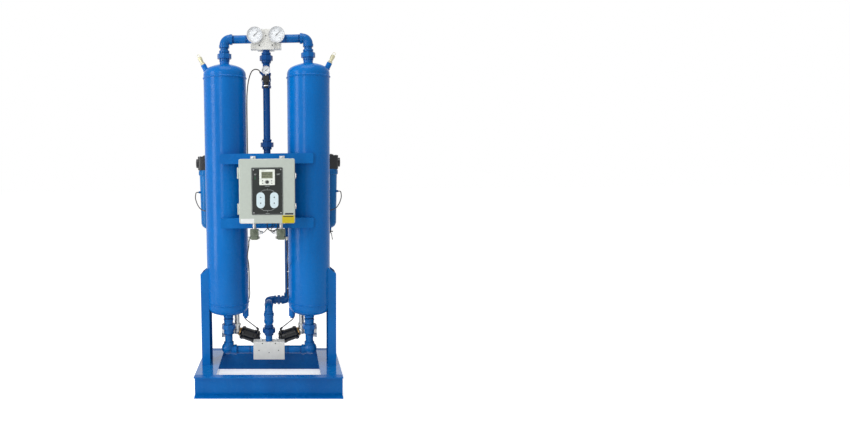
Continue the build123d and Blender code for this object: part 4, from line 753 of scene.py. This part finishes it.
OVAL_X = (-30, 45)
windows = bmesh.new()
for x in OVAL_X:
    oval(windows, x, 1108, 1196, 46, -314.8, 0.5)
piece("signal_ovals", windows, film_ice, "door")
bulbs = bmesh.new()
for x in OVAL_X:
    for z in (1136, 1168):
        turned(bulbs, [(0, 1.6), (2.2, 1.3), (3.3, 0.3), (3.3, -0.2), (0, -0.2)], spot(x, -315.3, z), FRONT, 24)
piece("signal_lamps", bulbs, ink_black, "door")
glints = bmesh.new()
for x in OVAL_X:
    for z in (1136, 1168):
        turned(glints, [(0, 0.5), (0.6, 0.4), (0.9, 0), (0, 0)], spot(x, -316.7, z), FRONT, 16)
piece("signal_glints", glints, lamp_green, "door")

# %% Pipe diagram and the power lamp
lines = bmesh.new()
ink_front = -315.1
for top, turn, tip in ((1199, 1209, 1217), (1105, 1095, 1087)):
    for (x0, z0), (x1, z1) in (((-30, top), (-12, turn)), ((-12, turn), (27, turn)), ((27, turn), (45, top)),
                               ((7.5, turn), (7.5, tip))):
        slope = Matrix.Rotation(-math.atan2(z1 - z0, x1 - x0), 4, "Y")
        length = math.hypot(x1 - x0, z1 - z0) + 1.2
        plate(lines, (length, 0.2, 1.2), spot((x0 + x1) / 2, ink_front, (z0 + z1) / 2), 0.03, 1, slope)
for x, z, wide in ((7.5, 1229.5, 26), (7.5, 1079, 22), (7.5, 1074.5, 14), (-59, 1297, 12), (-59, 1292.5, 9),
                   (69, 1297, 20), (67, 1292.5, 15)):
    plate(lines, (wide, 0.2, 1.6), spot(x, ink_front, z), 0.03, 1)
rim = 171.0, 259.0
for side in (-1, 1):
    plate(lines, (0.9, 0.2, rim[1] - 8), spot(7 + side * (rim[0] / 2 - 2), ink_front, 1202), 0.03, 1)
    plate(lines, (rim[0] - 8, 0.2, 0.9), spot(7, ink_front, 1202 + side * (rim[1] / 2 - 2)), 0.03, 1)
piece("pipe_diagram", lines, ink_pale, "door")
power = bmesh.new()
turned(power, [(0, 2.4), (1.6, 2.1), (2.5, 1.2), (2.8, 0), (0, 0)], spot(-59, -315.0, 1280), FRONT, 24)
plate(power, (9, 0.3, 3.5), spot(-59, -315.1, 1271), 0.05, 1)
piece("power_lamp", power, lamp_green, "door")

# %% [markdown]
# ## Labels
# The photographed door carries a white and a yellow sticker. Here both stay blank, with only a plain dark
# strip on the yellow one. A sticker has rounded corners and lies a few tenths proud of the door.

# %% Blank labels
for name, material, x, z, wide, tall in (("blank_label_white", label_white, -105, 1037, 74, 26),
                                         ("blank_label_yellow", label_yellow, 122, 1046, 68, 44),
                                         ("blank_label_strip", ink_black, 127, 1076, 46, 9),
                                         ("blank_label_line", ink_black, 122, 1061, 56, 5)):
    sticker = bmesh.new()
    thick = 0.5 if name == "blank_label_line" else 0.24
    plate(sticker, (wide, thick, tall), spot(x, -314.1, z), 0.08, 1)
    piece(name, sticker, material, "door")

# %% [markdown]
# ## Fasteners of the enclosure
# Each latch is riveted to the box and has a dished grip. Cap screws hold the mounting feet, and the hinge
# knuckles end in small domed heads. The screws are turned outlines with a socket.

# %% Enclosure hardware
heads = bmesh.new()
for x in (-79, 89):
    for z in (1202 + 189, 1202 - 189):
        turned(heads, [(0, 0.4), (2.2, 0.4), (2.6, 3.2), (5.2, 3.2), (6.2, 2.4), (6.2, 0), (0, 0)],
               spot(x, -157.9, z), FRONT, 24)
piece("foot_screws", heads, zinc)
domes = bmesh.new()
for z in (1286, 1118):
    for drop in (-6.5, 6.5):
        turned(domes, [(0, 1.6), (1.6, 1.3), (2.6, 0.5), (2.8, 0), (0, 0)], spot(160.0, -278, z + drop), RIGHT, 16)
piece("latch_rivets", domes, chrome)
corners = bmesh.new()
for x in (-68, 82):
    for z in (1083, 1321):
        turned(corners, [(0, 0.5), (1.0, 0.5), (1.4, 1.1), (2.6, 1.0), (3.0, 0), (0, 0)], spot(x, -315.0, z), FRONT, 20)
piece("panel_rivets", corners, zinc, "door")

# %% [markdown]
# ## Solenoid coils, their plugs and their leads
# Under the box hang two pilot valves. Each olive coil takes a plug at its inner side, ribbed where fingers
# grip it. Two thin leads run from the plugs up to glands in the box's floor, and a thicker cable hangs between two
# more glands in a short loop. A hanging cable is a smooth curve, so each is a spline through listed points.

# %% Plugs and glands
SOLENOID_X = {"left": -71, "right": 81}
SOLENOID_Y = -235
COIL_Z = 964
grips = bmesh.new()
for side, x in SOLENOID_X.items():
    inward = RIGHT if side == "left" else LEFT
    start = x + 25 * inward.x
    plate(grips, (10, 24, 24), spot(start + 4 * inward.x, SOLENOID_Y, COIL_Z), 2.0, 2)
    outline = [(0, 0)]
    for rib in range(3):
        outline += [(7.5, rib * 4.6), (9.0, rib * 4.6 + 1.0), (9.0, rib * 4.6 + 3.0), (7.5, rib * 4.6 + 4.0)]
    turned(grips, outline + [(5.0, 15.0), (0, 15.0)], spot(start + 8.5 * inward.x, SOLENOID_Y, COIL_Z), inward, 32)
piece("coil_plugs", grips, zinc)
covers = bmesh.new()
for x in SOLENOID_X.values():
    turned(covers, [(0, 3.2), (9, 3.2), (12, 2.4), (13.5, 0.6), (13.5, -0.5), (0, -0.5)],
           spot(x, SOLENOID_Y - 19, COIL_Z), FRONT, 40)
    turned(covers, [(0, 7.0), (3.4, 7.0), (4.0, 6.2), (4.0, 2.8), (0, 2.8)], spot(x, SOLENOID_Y - 19, COIL_Z), FRONT, 24)
piece("coil_covers", covers, coil_olive)
BOX_FLOOR = 1023
GLAND_X = (3, 34, 46, 62)
glands = bmesh.new()
for x in GLAND_X:
    bar(glands, 7.6, 4.0, spot(x, SOLENOID_Y, BOX_FLOOR), DOWN, 6, 0.4)
    turned(glands, [(0, 4), (5.8, 4), (5.8, 7), (4.4, 9.5), (0, 9.5)], spot(x, SOLENOID_Y, BOX_FLOOR), DOWN, 24)
piece("cable_glands", glands, black_dull)


# %% Leads and cable


def lead(name, route, diameter):
    """A free cable of the given diameter along a route given in millimetres."""
    curve = bpy.data.curves.new(name, "CURVE")
    curve.dimensions = "3D"
    line = curve.splines.new("NURBS")
    line.points.add(len(route) - 1)
    for point, (x, y, z) in zip(line.points, route):
        point.co = (*spot(x, y, z), 1)
    line.order_u = 3
    line.use_endpoint_u = True
    line.resolution_u = 12
    bare = bpy.data.objects.new(name + "_line", curve)
    path = bpy.data.meshes.new_from_object(bare)
    bpy.data.objects.remove(bare)
    bpy.data.meshes.remove(path)
    curve.bevel_depth = diameter / 2000
    curve.bevel_resolution = 4
    curve.use_fill_caps = True
    cable = bpy.data.objects.new(name, curve)
    bpy.context.scene.collection.objects.link(cable)
    curve.materials.append(cable_black)
    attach(cable, "frame")


lead("sensor_cable", [(3, -235, 1016), (2, -235, 1000), (7, -236, 982), (23, -238, 973), (43, -238, 974),
                      (60, -236, 985), (64, -235, 1000), (62, -235, 1016)], 5.8)
lead("left_coil_lead", [(-23, -235, 964), (-14, -236, 966), (-6, -238, 976), (4, -243, 987), (18, -245, 991),
                        (29, -241, 998), (34, -235, 1006), (34, -235, 1016)], 4.2)
lead("right_coil_lead", [(33, -235, 964), (25, -236, 966), (22, -231, 975), (28, -228, 988), (40, -230, 997),
                         (46, -234, 1005), (46, -235, 1016)], 4.2)

# %% [markdown]
# ## Collars and clips on the air tubes
# Push-in fittings grip each nylon tube with a collar that is pressed to free it. Clips hold the long runs to
# the towers, with a band round the tube and a small screw.

# %% Collars and clips
collars = bmesh.new()
for (x, y, z), way in (((-103, -233, 919), (-0.1, 0.06, -1)), ((113, -233, 919), (0.1, 0.06, -1)),
                       ((-35.2, -16.7, 1897.7), (-0.7, -0.22, 0.68))):
    turned(collars, [(3.3, 0), (5.6, 0), (6.2, 1.0), (6.2, 2.2), (4.6, 3.0), (4.6, 5.0), (3.3, 5.4), (3.3, 0)],
           spot(x, y, z), Vector(way), 28)
piece("tube_collars", collars, black_dull)
clips = bmesh.new()
for side in (-1, 1):
    for z in (700, 590):
        x, y = side * 117.3, {700: -26, 590: -1}[z]
        ring(clips, 4.2, 0.9, spot(x, y, z), UP, 28, 8)
        plate(clips, (9, 1.2, 8), spot(x + side * 6.5, y - 1, z), 0.3, 1)
for z in (1700, 1560):
    ring(clips, 4.2, 0.9, spot(-117.3, -29 + (1700 - z) / 80, z), UP, 28, 8)
piece("tube_clips", clips, zinc)

# %% [markdown]
# ## Weld seams
# The heads are welded to the shells, and the legs and brackets to the towers. A hand-laid weld is a row of
# overlapping puddles, so each bead swells and narrows once per stitch. It is painted with the rest.

# %% Weld seams
TOWER_X, TOWER_R = 250, 127
beads_bm = bmesh.new()
for side in (-1, 1):
    for z in (508, 1866):
        ring(beads_bm, TOWER_R + 0.9, 3.6, spot(side * TOWER_X, 0, z), UP, 264, 8, 0.13)
piece("head_seams", beads_bm, tower_blue, smooth=60)
fillets = bmesh.new()
leg_gap = math.sqrt(TOWER_R ** 2 - 63.5 ** 2)
for side in (-1, 1):
    for y in (-64.5, 64.5):
        x = side * (TOWER_X + leg_gap - 1)
        seam(fillets, spot(x, y, 520), spot(x, y, 700), 3.2, 5.0)
    for z in (1384, 1009):
        for x in (TOWER_X - 100, TOWER_X + 21):
            depth = -math.sqrt(TOWER_R ** 2 - (x - TOWER_X) ** 2)
            seam(fillets, spot(side * x, depth - 0.5, z - 29), spot(side * x, depth - 0.5, z + 29), 3.0, 5.0)
piece("fillet_welds", fillets, steel_blue, smooth=60)
collar_welds = bmesh.new()
for side in (-1, 1):
    ring(collar_welds, 29.5, 2.6, spot(side * TOWER_X, 0, 1931.5), UP, 72, 8, 0.14)
    tilt = Vector((side * math.sin(math.radians(27)), 0, math.cos(math.radians(27))))
    ring(collar_welds, 16.8, 2.2, spot(side * 361, 0, 1917) + tilt * 0.001, tilt, 48, 8, 0.14)
piece("boss_welds", collar_welds, tower_blue, smooth=60)

# %% [markdown]
# ## Threads beside the fittings
# Where a pipe enters a fitting, a few turns of its taper thread stay bare of the socket. They are drawn as a
# turned zigzag, which is a thread without its lead and looks the same from outside.

# %% Pipe threads


def threads(bm, radius, place, direction, turns=5, pitch=2.2):
    """A short band of thread round a pipe."""
    outline = [(radius - 1.0, 0)]
    for number in range(turns):
        outline += [(radius + 0.75 - 0.08 * number, (number + 0.5) * pitch), (radius - 0.1, (number + 1) * pitch)]
    turned(bm, outline + [(radius - 1.0, turns * pitch)], place, direction, 36)


taper = bmesh.new()
for side in (-1, 1):
    for z in (1965, 1956, 400, 311):
        threads(taper, 24.1, spot(side * TOWER_X, 0, z), DOWN if z in (1965, 311) else UP)
    for x in (200, 112):
        threads(taper, 24.1, spot(side * x, 0, 2095), LEFT * side if x == 200 else RIGHT * side)
        threads(taper, 24.1, spot(side * x, 0, 206), LEFT * side if x == 200 else RIGHT * side)
for z in (1953, 1446, 1496):
    threads(taper, 21.1, spot(0, 0, z), DOWN if z != 1496 else UP)
piece("pipe_threads", taper, pipe_blue_painted_shade)

# %% [markdown]
# ## Exhaust actuators
# Each exhaust valve is opened by a piston in a glossy black cylinder. A bronze ring shows between the valve's neck
# and the cylinder, tie screws close its end, and two moulded ribs run round it.

# %% Actuator dressing
ACTUATOR_TILT = 0.327
rings, tie_screws, ribs, windows_bm = bmesh.new(), bmesh.new(), bmesh.new(), bmesh.new()
for side in (-1, 1):
    way = Vector((-side * 0.945, 0, -ACTUATOR_TILT)).normalized()
    base = spot(side * 205, 90, 300)
    turned(rings, [(17, 15), (26.2, 15.5), (27, 17), (27, 21), (26.2, 22.5), (17, 23), (17, 15)], base, way, 56)
    turned(ribs, [(17, 22.6), (27, 22.8), (34, 25), (40, 30), (42.4, 37), (42.4, 41), (17, 41), (17, 22.6)],
           base, way, 72)
    for start in (40, 132):
        turned(ribs, [(41.5, start), (42.9, start + 1.5), (42.9, start + 6.5), (41.5, start + 8), (41.5, start)],
               base, way, 72)
    across = Vector((0, 1, 0))
    upright = way.cross(across)
    for number in range(6):
        angle = math.tau * (number + 0.5) / 6
        place = base + way * 0.1478 + (across * math.cos(angle) + upright * math.sin(angle)) * 0.031
        socket_screw(tie_screws, 4.0, place + way * 0.0012, way, 2.0)
    turned(windows_bm, [(0, 7.5), (6, 7.5), (8.5, 5.0), (9, 0), (0, 0)], base + way * 0.1478, way, 32)
piece("bonnet_rings", rings, bronze)
piece("actuator_ribs", ribs, black_glossy)
piece("actuator_screws", tie_screws, zinc)
piece("position_windows", windows_bm, black_dull)

# %% [markdown]
# ## Filters, regulator and drain
# Four screws close each filter head, ribs on the bowl's collar give a grip, and the right bowl has a small drain
# valve with a rod. A plated ring locks the regulator's knob, and plugs close the ports it doesn't use.

# %% Filter and regulator dressing
small_screws, grip_ribs, drains, locks = bmesh.new(), bmesh.new(), bmesh.new(), bmesh.new()
for side in (-1, 1):
    for across in (-38, 38):
        for along in (-32, 32):
            socket_screw(small_screws, 4.4, spot(side * 390 + across, 165 + along, 1408.4), UP, 2.2)
    for number in range(16):
        angle = math.tau * number / 16
        place = spot(side * 390 + 50 * math.cos(angle), 165 + 50 * math.sin(angle), 1301)
        plate(grip_ribs, (3.2, 6.0, 24), place, 0.8, 2, Matrix.Rotation(angle, 4, "Z"))
    turned(drains, [(0, 0), (9.5, 0), (10.5, 2), (10.5, 14), (7, 17), (7, 24), (4, 27), (0, 27)],
           spot(side * 390, 165, 936), DOWN, 32)
bar(drains, 2.2, 46, spot(400, 160, 915), Vector((0.16, 0, -1)), 16, 0.3)
bar(drains, 3.4, 16, spot(395, 160, 922), Vector((1, 0, 0.1)), 20, 0.4)
turned(locks, [(15.4, 0), (18.0, 0.6), (18.6, 1.4), (18.6, 4.2), (18.0, 5.0), (15.4, 5.6), (15.4, 0)],
       spot(0, -74, 1812), DOWN, 48)
for x in (-18, 18):
    bar(locks, 5.0, 4.5, spot(x, -74, 1838), RIGHT if x > 0 else LEFT, 6, 0.4)
piece("head_screws", small_screws, zinc)
piece("collar_ribs", grip_ribs, bowl_blue)
piece("bowl_drains", drains, black_dull)
piece("regulator_ring", locks, zinc)
